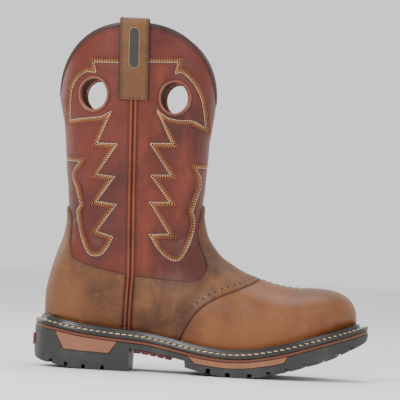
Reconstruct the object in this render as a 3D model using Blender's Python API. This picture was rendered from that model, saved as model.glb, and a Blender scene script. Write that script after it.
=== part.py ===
"""A right western work boot, standing on its sole.

+X is the toe, +Y the medial (inner) side, -Y the lateral (outer) side and +Z
up. The origin is on the floor, at the middle of the outsole's length and width.
All sizes are in metres.

The boot hangs on three curves: the outsole's outline from above, the seat (the
line where welt and midsole meet, seen from the side) and the upper's rows, a
fan of sections that turns from upright at the toe to level in the shaft. The
shaft leather is that surface, and every overlay is cut from an offset of it.
"""

import math
from collections import namedtuple

import bmesh
import bpy
import numpy as np

# Clearance between pieces that touch
GAP = 0.0003

# Sole, seen from above
SOLE_LENGTH = 0.309
BALL_WIDTH = 0.110
HEEL_WIDTH = 0.0775
WELT_SIDE = 0.0088
WELT_TOE = 0.0128
WELT_HEEL = 0.0098

# Sole, seen from the side
BALL_HEIGHT = 0.0165
HEEL_HEIGHT = 0.0298
TOE_SPRING = 0.032
MIDSOLE_THICK = 0.0027
MIDSOLE_INSET = 0.0008
WELT_EDGE = 0.0040
WELT_BEAD = 0.0092
BEAD_WIDTH = 0.0026
BEAD_SLOPE = 0.0009
BEAD_FALL = 0.0008
WELT_INSET = 0.0005
SKIRT = WELT_BEAD + 0.0020
TREAD_DEPTH = 0.0044
GROOVE_WIDTH = 0.0056
HEEL_GROOVE_WIDTH = 0.0040
CHANNEL_WIDTH = 0.0040
CHANNEL_APART = 0.034
GROOVE_TAPER = 0.72
FORE_SLANT = 0.16
HEEL_SLANT = -0.10
BELOW_FLOOR = 0.01
BREAST_SHARE = 0.293
ARCH_END_SHARE = 0.462
INLAY_PROUD = 0.0004
INLAY_DEPTH = 0.0030
POCKET_RISE = 0.25
POCKET_OUT = 0.01
RAIL_DEPTH = 0.0080
ARCH_RIBS = 5
ARCH_RIB_LENGTH = 0.0055
ARCH_RIB_DROP = 0.0022
ARCH_PLATE = 0.0015
ARCH_WIDTH = 0.046
ARCH_START = 0.004
ARCH_LENGTH = 0.0342
BADGE_WIDTH = 0.016
BADGE_HEIGHT = 0.0105
BADGE_THICK = 0.0012
BADGE_DROP = 0.0155

# Upper
WALL = 0.0022
INSTEP_RISE = 0.0965
SHAFT_TOP = 0.3192
COLLAR_DIP = 0.067
TOP_WIDTH = 0.107
VAMP_THICK = 0.0013
SADDLE_THICK = 0.0018
COUNTER_THICK = 0.0015
SEAM_WIDTH = 0.0078
SEAM_THICK = 0.0020
BINDING_THICK = 0.0009
BINDING_DEPTH = 0.0036
BINDING_RISE = 1.8
INSOLE_THICK = 0.0040

# Pull holes and straps
HOLE_WIDTH = 0.0255
HOLE_HEIGHT = 0.0285
HOLE_RIM = 0.0022
RIM_THICK = 0.0010
HOLE_SPREAD = 0.0375
HOLE_DROP = 0.0665
STRAP_WIDTH = 0.0275
STRAP_THICK = 0.0022
STRAP_LENGTH = 0.0700
STRAP_INSIDE = 0.0340

# Resolution of the faceted surfaces
SIDE_STEPS = 10
ROW_STEPS = 32
HOLE_SIDES = 16
SOLE_STEPS = 40

# Outsole outline, toe to heel: reach is a share of the sole's length from the
# heel, outer and inner are half widths as shares of a width that is ball_part
# ball width and for the rest heel width.
Outline = namedtuple("Outline", "reach outer inner ball_part")
OUTLINE = (
    Outline(1.000, -0.055, 0.055, 1.0),
    Outline(0.990, 0.060, 0.165, 1.0),
    Outline(0.968, 0.155, 0.262, 1.0),
    Outline(0.930, 0.258, 0.355, 1.0),
    Outline(0.875, 0.364, 0.437, 1.0),
    Outline(0.805, 0.448, 0.490, 1.0),
    Outline(0.730, 0.494, 0.500, 1.0),
    Outline(0.655, 0.508, 0.483, 1.0),
    Outline(0.580, 0.500, 0.436, 1.0),
    Outline(0.500, 0.470, 0.372, 1.0),
    Outline(0.420, 0.490, 0.366, 0.5),
    Outline(0.340, 0.500, 0.398, 0.1),
    Outline(0.260, 0.502, 0.440, 0.0),
    Outline(0.180, 0.500, 0.478, 0.0),
    Outline(0.115, 0.482, 0.476, 0.0),
    Outline(0.060, 0.408, 0.408, 0.0),
    Outline(0.020, 0.268, 0.268, 0.0),
    Outline(0.000, 0.000, 0.000, 0.0),
)

# The seat seen from the side: heel is a share of the heel's rise over the ball,
# spring a share of the toe spring.
Seat = namedtuple("Seat", "reach heel spring")
SEAT = (
    Seat(0.000, 1.77, 0.0),
    Seat(0.063, 1.53, 0.0),
    Seat(0.157, 1.19, 0.0),
    Seat(0.248, 1.00, 0.0),
    Seat(0.328, 0.87, 0.0),
    Seat(0.400, 0.62, 0.0),
    Seat(0.455, 0.37, 0.0),
    Seat(0.516, 0.14, 0.0),
    Seat(0.590, 0.00, 0.0),
    Seat(0.625, 0.00, 0.01),
    Seat(0.688, 0.00, 0.09),
    Seat(0.762, 0.00, 0.25),
    Seat(0.836, 0.00, 0.47),
    Seat(0.910, 0.00, 0.69),
    Seat(0.970, 0.00, 0.88),
    Seat(1.000, 0.00, 1.00),
)

# Depth of the tread below the seat, as a share of the heel's or the ball's height
Depth = namedtuple("Depth", "reach share")
HEEL_DEPTH = (
    Depth(0.000, 0.86),
    Depth(0.007, 1.04),
    Depth(0.036, 1.11),
    Depth(0.090, 1.115),
    Depth(0.146, 1.09),
    Depth(0.180, 1.20),
    Depth(0.300, 1.20),
)
FORE_DEPTH = (
    Depth(0.462, 0.84),
    Depth(0.513, 0.91),
    Depth(0.570, 0.97),
    Depth(0.590, 1.05),
    Depth(0.640, 1.07),
    Depth(0.700, 1.045),
    Depth(0.850, 1.045),
    Depth(0.900, 0.98),
    Depth(0.945, 0.80),
    Depth(0.980, 0.69),
    Depth(0.995, 0.60),
    Depth(1.000, 0.34),
)
ARCH_DEPTH = 0.49

# Where the forepart's flat spot starts and ends
BALL_FLAT = (0.590, 0.640)

# Cross grooves of the tread, as shares of the sole's length from the heel
FORE_GROOVES = (0.523, 0.581, 0.646, 0.702, 0.756, 0.807, 0.857, 0.903, 0.941, 0.972)
HEEL_GROOVES = (0.067, 0.113, 0.166, 0.223)

# Side panels: where each starts and ends along its top and its bottom edge
Panel = namedtuple("Panel", "top_back top_front low_back low_front")
HEEL_PANEL = Panel(0.069, 0.256, 0.096, 0.233)
FORE_PANEL = Panel(0.471, 0.766, 0.492, 0.757)
HEEL_PANEL_LOW = 0.53
HEEL_PANEL_TILT = 0.4

# Foot rows, toe to heel: ridge is the row's top on the centre line, as a reach
# and as a share of the instep's rise over the seat; along is the row's foot, as
# a share of the way round the outline from toe to heel; ball and heel give its
# greatest half width; peak is where down the row that comes; square and round
# shape the row above and below it.
FootRow = namedtuple("FootRow", "reach rise along ball heel peak square round")
FOOT_ROWS = (
    FootRow(0.9563, 0.205, 0.020, 0.110, 0.0, 0.52, 2.3, 0.95),
    FootRow(0.9485, 0.280, 0.055, 0.215, 0.0, 0.55, 2.3, 0.95),
    FootRow(0.9304, 0.367, 0.095, 0.300, 0.0, 0.58, 2.3, 0.95),
    FootRow(0.9060, 0.435, 0.140, 0.366, 0.0, 0.60, 2.25, 0.95),
    FootRow(0.8690, 0.498, 0.190, 0.416, 0.0, 0.62, 2.2, 0.95),
    FootRow(0.8236, 0.549, 0.245, 0.446, 0.0, 0.62, 2.15, 0.95),
    FootRow(0.7720, 0.593, 0.305, 0.457, 0.0, 0.62, 2.1, 0.95),
    FootRow(0.7170, 0.660, 0.370, 0.448, 0.0, 0.62, 2.05, 0.95),
    FootRow(0.6634, 0.742, 0.440, 0.424, 0.0, 0.62, 2.0, 0.95),
    FootRow(0.6165, 0.811, 0.510, 0.394, 0.0, 0.60, 2.0, 0.95),
    FootRow(0.5810, 0.876, 0.580, 0.362, 0.0, 0.58, 2.0, 0.95),
    FootRow(0.5492, 0.934, 0.645, 0.100, 0.360, 0.57, 2.0, 0.92),
    FootRow(0.5285, 0.996, 0.705, 0.0, 0.492, 0.56, 2.0, 0.88),
    FootRow(0.5129, 1.055, 0.765, 0.0, 0.488, 0.56, 2.0, 0.82),
    FootRow(0.5019, 1.109, 0.820, 0.0, 0.490, 0.56, 2.0, 0.75),
    FootRow(0.4955, 1.163, 0.875, 0.0, 0.498, 0.55, 2.0, 0.67),
    FootRow(0.4922, 1.218, 0.935, 0.0, 0.510, 0.54, 2.0, 0.58),
)

# Shaft rows, upwards: heights are shares of the shaft's top, reaches are shares
# of the sole's length and the half width is a share of the top's width.
ShaftRow = namedtuple("ShaftRow", "front_z front_reach back_z back_reach half")
SHAFT_ROWS = (
    ShaftRow(0.4402, 0.4896, 0.1610, 0.0305, 0.376),
    ShaftRow(0.4520, 0.4866, 0.2080, 0.0305, 0.384),
    ShaftRow(0.4710, 0.4851, 0.2620, 0.0395, 0.392),
    ShaftRow(0.4940, 0.4851, 0.3230, 0.0560, 0.401),
    ShaftRow(0.5200, 0.4870, 0.3880, 0.0773, 0.410),
    ShaftRow(0.5500, 0.4893, 0.4520, 0.0828, 0.419),
    ShaftRow(0.5830, 0.4916, 0.5190, 0.0777, 0.428),
    ShaftRow(0.6200, 0.4939, 0.5820, 0.0689, 0.438),
    ShaftRow(0.6600, 0.4948, 0.6440, 0.0634, 0.449),
    ShaftRow(0.7050, 0.5006, 0.7020, 0.0566, 0.462),
    ShaftRow(0.7480, 0.5058, 0.7480, 0.0460, 0.476),
    ShaftRow(0.7720, 0.5078, 0.7720, 0.0405, 0.484),
)
COLLAR_ROWS = 5
SHAFT_SQUARE = 2.1
COLLAR_SQUARE = 2.3
COLLAR_SOFT = 0.09

# Overlay edges seen from the side: reach along the sole and height as a share
# of the shaft's top.
Edge = namedtuple("Edge", "reach height")
COUNTER_TOP = (
    Edge(0.060, 0.498),
    Edge(0.096, 0.441),
    Edge(0.099, 0.368),
    Edge(0.108, 0.325),
    Edge(0.133, 0.309),
    Edge(0.195, 0.293),
    Edge(0.300, 0.275),
)
SADDLE_TOP = (
    Edge(0.260, 0.280),
    Edge(0.390, 0.271),
    Edge(0.464, 0.269),
    Edge(0.493, 0.279),
    Edge(0.509, 0.309),
    Edge(0.501, 0.337),
    Edge(0.480, 0.388),
    Edge(0.480, 0.460),
    Edge(0.492, 0.513),
)
SADDLE_FRONT = (
    Edge(0.690, 0.290),
    Edge(0.641, 0.263),
    Edge(0.599, 0.244),
    Edge(0.541, 0.219),
    Edge(0.499, 0.188),
    Edge(0.471, 0.152),
    Edge(0.455, 0.122),
    Edge(0.444, 0.093),
    Edge(0.430, 0.030),
)
SEAM_LINE = (
    Edge(0.282, 0.020),
    Edge(0.282, 0.118),
    Edge(0.286, 0.278),
    Edge(0.279, 0.493),
    Edge(0.275, 0.636),
    Edge(0.271, 0.795),
    Edge(0.264, 1.000),
)

OUTLINE_FINE = 24


def smooth_table(xs, ys, at):
    """Cubic through the table's points that never overshoots them."""
    xs, ys, at = np.asarray(xs, float), np.asarray(ys, float), np.asarray(at, float)
    step = np.diff(xs)
    slope = np.diff(ys) / step
    tangent = np.zeros(len(xs))
    for k in range(1, len(xs) - 1):
        if slope[k - 1] * slope[k] > 0:
            w1, w2 = 2 * step[k] + step[k - 1], step[k] + 2 * step[k - 1]
            tangent[k] = (w1 + w2) / (w1 / slope[k - 1] + w2 / slope[k])
    tangent[0], tangent[-1] = slope[0], slope[-1]
    k = np.clip(np.searchsorted(xs, at, side="right") - 1, 0, len(xs) - 2)
    t = np.clip((at - xs[k]) / step[k], 0.0, 1.0)
    ease = t * t * (3 - 2 * t)
    return (
        ys[k] * (1 - ease)
        + ys[k + 1] * ease
        + step[k] * (tangent[k] * t * (1 - t) ** 2 - tangent[k + 1] * t * t * (1 - t))
    )


def spline(points, steps, closed=False):
    """Catmull-Rom curve through points, as steps points for each span."""
    points = np.asarray(points, float)
    count = len(points)
    out = []
    for k in range(count if closed else count - 1):
        if closed:
            a, b, c, d = (points[(k + n) % count] for n in (-1, 0, 1, 2))
        else:
            b, c = points[k], points[k + 1]
            a = points[k - 1] if k else 2 * b - c
            d = points[k + 2] if k + 2 < count else 2 * c - b
        for t in np.arange(steps) / steps:
            out.append(
                0.5
                * (
                    2 * b
                    + (c - a) * t
                    + (2 * a - 5 * b + 4 * c - d) * t * t
                    + (3 * b - 3 * c + d - a) * t**3
                )
            )
    if not closed:
        out.append(points[-1])
    return np.array(out)


def x_at(reach):
    """Distance along the sole from its middle, for a share of the length."""
    return (np.asarray(reach) - 0.5) * SOLE_LENGTH


def reach_at(x):
    return np.asarray(x) / SOLE_LENGTH + 0.5


def seat_z(x):
    """Height of the seat, where welt and midsole meet."""
    reach = np.clip(reach_at(x), 0.0, 1.0)
    heel = smooth_table([r.reach for r in SEAT], [r.heel for r in SEAT], reach)
    spring = smooth_table([r.reach for r in SEAT], [r.spring for r in SEAT], reach)
    return BALL_HEIGHT + (HEEL_HEIGHT - BALL_HEIGHT) * heel + TOE_SPRING * spring


def tread_z(x):
    """Height of the tread's face under heel and forepart, and of the arch between."""
    reach = reach_at(x)
    if reach <= BREAST_SHARE:
        rows, full = HEEL_DEPTH, HEEL_HEIGHT
    elif reach >= ARCH_END_SHARE:
        rows, full = FORE_DEPTH, BALL_HEIGHT
    else:
        return float(seat_z(x)) - ARCH_DEPTH * BALL_HEIGHT
    depth = full * smooth_table([r.reach for r in rows], [r.share for r in rows], reach)
    return max(0.0, float(seat_z(x)) - float(depth))


class Outlines:
    """The outsole's outline and the feather line inside it, each as two sides."""

    def __init__(self):
        widths = [
            r.ball_part * BALL_WIDTH + (1 - r.ball_part) * HEEL_WIDTH for r in OUTLINE
        ]
        outer = [(float(x_at(r.reach)), -r.outer * w) for r, w in zip(OUTLINE, widths)]
        inner = [(float(x_at(r.reach)), r.inner * w) for r, w in zip(OUTLINE, widths)]
        loop = spline(outer + inner[-2:0:-1], OUTLINE_FINE, closed=True)
        heel = OUTLINE_FINE * (len(OUTLINE) - 1)
        self.sole = self.sides(loop, heel)
        feather = self.inset(loop, self.welt_reach(loop[:, 0]))
        self.feather = self.sides(feather, heel)

    @staticmethod
    def sides(loop, heel):
        """Lateral and medial halves of a loop, each from toe to heel."""
        return loop[: heel + 1], np.vstack([loop[:1], loop[:heel - 1:-1]])

    @staticmethod
    def welt_reach(x):
        reach = reach_at(x)
        toe = np.clip((reach - 0.80) / 0.17, 0, 1) ** 2
        heel = np.clip((0.15 - reach) / 0.12, 0, 1) ** 2
        return WELT_SIDE + (WELT_TOE - WELT_SIDE) * toe + (WELT_HEEL - WELT_SIDE) * heel

    @staticmethod
    def inset(loop, distance):
        along = np.roll(loop, -1, axis=0) - np.roll(loop, 1, axis=0)
        along /= np.linalg.norm(along, axis=1)[:, None]
        return loop + np.stack([along[:, 1], -along[:, 0]], axis=1) * np.reshape(
            distance, (-1, 1)
        )

    def half(self, x, side, inset=0.0):
        """Signed half width of the outsole at x; side is -1 lateral, 1 medial."""
        line = self.sole[0 if side < 0 else 1]
        order = np.argsort(line[:, 0])
        return float(np.interp(x, line[order, 0], line[order, 1])) - side * inset

    def feather_at(self, share, side):
        """Point of the feather line at a share of the way from toe to heel."""
        line = self.feather[0 if side < 0 else 1]
        length = np.concatenate(
            [[0], np.cumsum(np.linalg.norm(np.diff(line, axis=0), axis=1))]
        )
        at = share * length[-1]
        return np.array([np.interp(at, length, line[:, k]) for k in (0, 1)])


OUTLINES = Outlines()


def sample_rows(rows, count):
    """A table's columns, resampled evenly and smoothly."""
    at = np.linspace(0, len(rows) - 1, count)
    steps = np.arange(len(rows))
    return [smooth_table(steps, column, at) for column in zip(*rows)]


class Upper:
    """The shaft leather's outer surface, as a grid of points, and its shells.

    Column 0 is the lateral edge, the middle column the ridge and the last one
    the medial edge. From the first closed row on, both edges are the back line.
    """

    def __init__(self):
        self.columns = 2 * SIDE_STEPS + 1
        foot = sample_rows(FOOT_ROWS, ROW_STEPS // 2)
        rows = [self.foot_row(*row) for row in zip(*foot)]
        self.first_closed = len(rows)
        shaft = sample_rows(SHAFT_ROWS, ROW_STEPS // 3)
        rows += [self.shaft_row(*row) for row in zip(*shaft)]
        rows += [self.collar_row((k + 1) / COLLAR_ROWS) for k in range(COLLAR_ROWS)]
        rows.append(self.collar_row(1.0, 0.0))
        self.grid = np.array(rows)
        self.build_sheet()

    @staticmethod
    def turn(peak, square, rounding):
        """Shares down the row and out to its side, from ridge to edge."""
        angle = np.linspace(0, math.pi, SIDE_STEPS + 1)
        down, out = np.zeros_like(angle), np.zeros_like(angle)
        for k, a in enumerate(angle):
            if a <= math.pi / 2:
                down[k] = peak * (1 - math.cos(a) ** (2 / square))
                out[k] = math.sin(a) ** (2 / square)
            else:
                low = -math.cos(a)
                down[k] = peak + (1 - peak) * low
                out[k] = 1 - max(0.0, 1 - low * low) ** rounding
        return down, out

    def foot_row(self, reach, rise, along, ball, heel, peak, square, rounding):
        x = float(x_at(reach))
        ends = {side: OUTLINES.feather_at(along, side) for side in (-1, 1)}
        middle = (ends[-1][1] + ends[1][1]) / 2
        half = (ends[1][1] - ends[-1][1]) / 2
        widest = max(ball * BALL_WIDTH + heel * HEEL_WIDTH, half)
        ridge = np.array([x, middle, float(seat_z(x)) + rise * INSTEP_RISE])
        down, out = self.turn(peak, square, rounding)
        halves = {}
        for side in (-1, 1):
            end_x = ends[side][0]
            end = np.array([end_x, middle, float(seat_z(end_x)) + SKIRT])
            points = ridge + (end - ridge) * down[:, None]
            turned = np.arange(SIDE_STEPS + 1) > SIDE_STEPS / 2
            reach_out = np.where(turned, widest + (half - widest) * out, widest * out)
            points[:, 1] += side * reach_out
            halves[side] = points
        return np.vstack([halves[-1][::-1], halves[1][1:]])

    def shaft_row(self, front_z, front_reach, back_z, back_reach, half):
        front = np.array([float(x_at(front_reach)), 0.0, front_z * SHAFT_TOP])
        back = np.array([float(x_at(back_reach)), 0.0, back_z * SHAFT_TOP])
        return self.ring(front, back, half * TOP_WIDTH)

    @staticmethod
    def shape():
        """Fore-and-aft share and side share of a closed row at each column."""
        angle = np.linspace(-math.pi, math.pi, 2 * SIDE_STEPS + 1)
        power = 2 / SHAFT_SQUARE
        fore = np.sign(np.cos(angle)) * np.abs(np.cos(angle)) ** power
        side = np.sign(np.sin(angle)) * np.abs(np.sin(angle)) ** power
        side[[0, SIDE_STEPS, -1]] = 0.0
        return fore, side

    def ring(self, front, back, half):
        fore, side = self.shape()
        points = (front + back) / 2 + np.outer(fore, (front - back) / 2)
        points[:, 1] += side * half
        return points

    def collar_row(self, share, below=BINDING_DEPTH):
        """A row between the last level one and a line below the scalloped edge."""
        last = SHAFT_ROWS[-1]
        base = self.shaft_row(*last)
        fore, _ = self.shape()
        low = last.front_z * SHAFT_TOP
        swell = np.maximum(0.0, 1 - np.abs(fore) ** COLLAR_SQUARE) ** (1 / COLLAR_SQUARE)
        swell = np.hypot(swell, COLLAR_SOFT) - COLLAR_SOFT * (1 - swell)
        swell /= math.hypot(1, COLLAR_SOFT)
        top = SHAFT_TOP - COLLAR_DIP * (1 - swell)
        points = base.copy()
        points[:, 2] = low + share * (top - below - low)
        points[:, 1] *= shaft_flare(points[:, 2])
        return points

    def build_sheet(self):
        """Vertices and outward triangles of the surface and its straight skirt."""
        rows, columns = self.grid.shape[:2]
        index = np.zeros((rows, columns), int)
        points = []
        for i in range(rows):
            for j in range(columns):
                if i >= self.first_closed and j == columns - 1:
                    index[i, j] = index[i, 0]
                else:
                    index[i, j] = len(points)
                    points.append(self.grid[i, j])
        faces = []
        middle = columns // 2
        for i in range(rows - 1):
            for j in range(columns - 1):
                a, b = index[i, j], index[i, j + 1]
                c, d = index[i + 1, j + 1], index[i + 1, j]
                split = ((a, b, c), (a, c, d)) if j < middle else ((a, b, d), (b, c, d))
                faces += [t for t in split if len(set(t)) == 3]
        for j in range(middle):
            a, b = index[0, j], index[0, j + 1]
            c, d = index[0, columns - 2 - j], index[0, columns - 1 - j]
            faces.append((b, a, d))
            if b != c:
                faces.append((b, d, c))
        closed = self.first_closed
        lateral = [index[i, 0] for i in range(closed + 1)]
        medial = [index[i, columns - 1] for i in range(closed - 1, -1, -1)]
        self.edge = lateral + medial
        self.skirt = []
        for k in self.edge:
            x, y, _ = points[k]
            self.skirt.append(len(points))
            points.append(np.array([x, y, float(seat_z(x)) + GAP]))
        for k, (a, low_a) in enumerate(zip(self.edge, self.skirt)):
            after = (k + 1) % len(self.edge)
            b, low_b = self.edge[after], self.skirt[after]
            faces += [(a, b, low_a), (b, low_b, low_a)]
        self.collar = [index[rows - 1, j] for j in range(columns - 1)]
        self.below_collar = [index[rows - 2, j] for j in range(columns - 1)]
        self.points = np.array(points)
        self.faces = np.array(faces)
        self.orient()
        self.normals = self.vertex_normals()

    def orient(self):
        """All triangles face away from the boot's inside."""
        mesh = bmesh.new()
        verts = [mesh.verts.new(p) for p in self.points]
        for face in self.faces:
            mesh.faces.new([verts[k] for k in face])
        bmesh.ops.recalc_face_normals(mesh, faces=mesh.faces[:])
        mesh.verts.index_update()
        faces = [[v.index for v in face.verts] for face in mesh.faces]
        mesh.free()
        self.faces = np.array(faces)
        a, b, c = (self.points[self.faces[:, k]] for k in range(3))
        normal = np.cross(b - a, c - a)
        outward = (normal[:, 1] * (a[:, 1] + b[:, 1] + c[:, 1])).sum()
        if outward < 0:
            self.faces = self.faces[:, ::-1]

    def vertex_normals(self):
        a, b, c = (self.points[self.faces[:, k]] for k in range(3))
        face = np.cross(b - a, c - a)
        normals = np.zeros_like(self.points)
        for k in range(3):
            np.add.at(normals, self.faces[:, k], face)
        for k in self.skirt:
            normals[k, 2] = 0.0
        return normals / np.linalg.norm(normals, axis=1)[:, None]

    def offset(self, distance):
        """The surface's points moved out by a distance, its foot kept on the seat."""
        points = self.points + self.normals * distance
        points[self.skirt, 2] = seat_z(points[self.skirt, 0]) + GAP
        return points

    def shell(self, inside, outside):
        """Closed body between two offsets of the surface."""
        count = len(self.points)
        points = np.vstack([self.offset(outside), self.offset(inside)])
        faces = [tuple(f) for f in self.faces]
        faces += [tuple(f[::-1] + count) for f in self.faces]
        for loop in (self.collar, self.skirt):
            for k, a in enumerate(loop):
                b = loop[(k + 1) % len(loop)]
                faces += [(a, b, b + count), (a, b + count, a + count)]
        return points, faces

    def foot_line(self, distance):
        """Plan points round the foot of the surface, at an offset from it."""
        return self.offset(distance)[self.skirt][:, :2]


def shaft_flare(z):
    """Widening of the shaft above its last level row."""
    low = SHAFT_ROWS[-1].front_z * SHAFT_TOP
    share = np.clip((np.asarray(z) - low) / (SHAFT_TOP - low), 0, 1)
    full = 0.5 / SHAFT_ROWS[-1].half
    return 1 + (full - 1) * share


def shaft_side(x, z):
    """Distance of the shaft's faceted side from the centre plane, near its top."""
    last = SHAFT_ROWS[-1]
    front, back = float(x_at(last.front_reach)), float(x_at(last.back_reach))
    fore, side = Upper.shape()
    places = (front + back) / 2 + fore[SIDE_STEPS:] * (front - back) / 2
    half = last.half * TOP_WIDTH * float(shaft_flare(z))
    return half * float(np.interp(x, places[::-1], side[SIDE_STEPS:][::-1]))


def material(name, colour, roughness, metallic=0.0):
    made = bpy.data.materials.new(name)
    made.use_nodes = True
    shader = made.node_tree.nodes["Principled BSDF"]
    shader.inputs["Base Color"].default_value = (*colour, 1.0)
    shader.inputs["Roughness"].default_value = roughness
    shader.inputs["Metallic"].default_value = metallic
    made.diffuse_color = (*colour, 1.0)
    return made


def add_body(name, points, faces, finish, helper=False):
    """A mesh object of one closed body, its faces turned outwards."""
    mesh = bmesh.new()
    verts = [mesh.verts.new(tuple(map(float, p))) for p in points]
    for face in faces:
        if len(set(face)) == len(face):
            mesh.faces.new([verts[k] for k in face])
    bmesh.ops.recalc_face_normals(mesh, faces=mesh.faces[:])
    data = bpy.data.meshes.new(name)
    mesh.to_mesh(data)
    mesh.free()
    obj = bpy.data.objects.new(name, data)
    bpy.context.scene.collection.objects.link(obj)
    if helper:
        obj.hide_render = True
        obj.display_type = "WIRE"
    else:
        data.materials.append(finish)
    return obj


def boolean(obj, other, operation):
    cut = obj.modifiers.new(other.name, "BOOLEAN")
    cut.object = other
    cut.operation = operation
    cut.solver = "EXACT"


def prism(name, outline, low_y, high_y, finish=None):
    """A side view outline carried across the boot: a helper if it has no finish."""
    count = len(outline)
    points = [(x, low_y, z) for x, z in outline] + [(x, high_y, z) for x, z in outline]
    faces = [tuple(range(count)), tuple(range(2 * count - 1, count - 1, -1))]
    for k in range(count):
        n = (k + 1) % count
        faces.append((k, n, n + count, k + count))
    return add_body(name, points, faces, finish, helper=finish is None)


def edge_points(edges, steps=3):
    """A side view edge, smoothed, as x and z."""
    points = [(float(x_at(e.reach)), e.height * SHAFT_TOP) for e in edges]
    return [tuple(p) for p in spline(points, steps)]


def seam_x(z):
    """Middle of the side seam at a height."""
    heights = [e.height * SHAFT_TOP for e in SEAM_LINE]
    return float(np.interp(z, heights, [float(x_at(e.reach)) for e in SEAM_LINE]))


def seam_edge(offset, low, high, steps=8):
    heights = np.linspace(low, high, steps)
    return [(seam_x(z) + offset, float(z)) for z in heights]


def make_upper(upper, finish):
    """The hollow leather body, with its four pull holes."""
    points, faces = upper.shell(-WALL, 0.0)
    body = add_body("upper", points, faces, finish)
    for k, (x, z) in enumerate(hole_centres()):
        hole = prism(f"pull_hole_cutter_{k}", oval(x, z, 0.0), -BALL_WIDTH, BALL_WIDTH)
        boolean(body, hole, "DIFFERENCE")
    return body


def hole_centres():
    z = SHAFT_TOP - HOLE_DROP
    return [(seam_x(z) + side * HOLE_SPREAD, z) for side in (-1, 1)]


def oval(x, z, grow, sides=HOLE_SIDES):
    """A pull hole's outline, grown by a distance."""
    return [
        (
            x + (HOLE_WIDTH / 2 + grow) * math.cos(2 * math.pi * k / sides),
            z + (HOLE_HEIGHT / 2 + grow) * math.sin(2 * math.pi * k / sides),
        )
        for k in range(sides)
    ]


def make_rings(upper, finish):
    """Raised rims round the pull holes, two on each side."""
    for side, label in ((-1, "lateral"), (1, "medial")):
        for (x, z), place in zip(hole_centres(), ("back", "front")):
            name = f"hole_ring_{label}_{place}"
            points, faces = local_shell(upper, GAP, GAP + RIM_THICK, x, z, side)
            ring = add_body(name, points, faces, finish)
            low, high = sorted((side * 0.005, side * BALL_WIDTH))
            disc = prism(name + "_disc", oval(x, z, HOLE_RIM), low, high)
            bore = prism(name + "_bore", oval(x, z, 0.0), low * 1.2, high * 1.2)
            boolean(ring, disc, "INTERSECT")
            boolean(ring, bore, "DIFFERENCE")


def local_shell(upper, inside, outside, x, z, side):
    """The part of a shell near one pull hole, closed along its border."""
    reach = HOLE_HEIGHT
    points = upper.points
    near = (
        (np.abs(points[:, 0] - x) < reach)
        & (np.abs(points[:, 2] - z) < 1.3 * reach)
        & (points[:, 1] * side > 0.004)
    )
    faces = np.array([f for f in upper.faces if near[f].all()])
    return closed_patch(upper, faces, inside, outside)


def closed_patch(upper, faces, inside, outside):
    """A closed body from some of the surface's triangles."""
    used = np.unique(faces)
    number = {k: n for n, k in enumerate(used)}
    count = len(used)
    points = np.vstack([upper.offset(outside)[used], upper.offset(inside)[used]])
    local = [tuple(number[k] for k in f) for f in faces]
    edges = {}
    for a, b, c in local:
        for pair in ((a, b), (b, c), (c, a)):
            edges[pair] = True
    solid = list(local) + [tuple(k + count for k in f[::-1]) for f in local]
    for a, b in edges:
        if (b, a) not in edges:
            solid += [(a, a + count, b + count), (a, b + count, b)]
    return points, solid


def overlay(upper, name, thick, outline, finish, low_y=-BALL_WIDTH, high_y=BALL_WIDTH):
    """A layer over the upper, cut out along a side view outline."""
    points, faces = upper.shell(GAP, GAP + thick)
    body = add_body(name, points, faces, finish)
    boolean(body, prism(name + "_outline", outline, low_y, high_y), "INTERSECT")
    return body


def make_overlays(upper, finishes):
    """Vamp, saddle, counter and the two side seams."""
    far, below = SOLE_LENGTH, -0.02
    half_seam = SEAM_WIDTH / 2 + GAP
    front = edge_points(SADDLE_FRONT)
    vamp_line = [(x + GAP, z) for x, z in front]
    vamp = vamp_line + [(vamp_line[-1][0], below), (far, below), (far, vamp_line[0][1])]
    overlay(upper, "vamp", VAMP_THICK, vamp, finishes["vamp"])
    top = [p for p in edge_points(SADDLE_TOP) if p[0] > seam_x(p[1]) + half_seam]
    seam_high = top[0][1]
    seam = seam_edge(half_seam, below, seam_high)
    climb = (far, top[-1][1])
    saddle = seam + top + [climb, (far, front[0][1])] + front + [(front[-1][0], below)]
    overlay(upper, "saddle", SADDLE_THICK, saddle, finishes["saddle"])
    back = [p for p in edge_points(COUNTER_TOP) if p[0] < seam_x(p[1]) - half_seam]
    seam = seam_edge(-half_seam, below, back[-1][1])
    counter = [(-far, below), (-far, back[0][1])] + back + seam[::-1]
    overlay(upper, "counter", COUNTER_THICK, counter, finishes["counter"])
    high = SHAFT_TOP - STRAP_LENGTH - GAP
    for side, label in ((-1, "lateral"), (1, "medial")):
        strip = seam_edge(-SEAM_WIDTH / 2, below, high, 12)
        strip += seam_edge(SEAM_WIDTH / 2, below, high, 12)[::-1]
        low, top_y = sorted((side * 0.004, side * BALL_WIDTH))
        overlay(upper, "seam_" + label, SEAM_THICK, strip, finishes["seam"], low, top_y)


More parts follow.
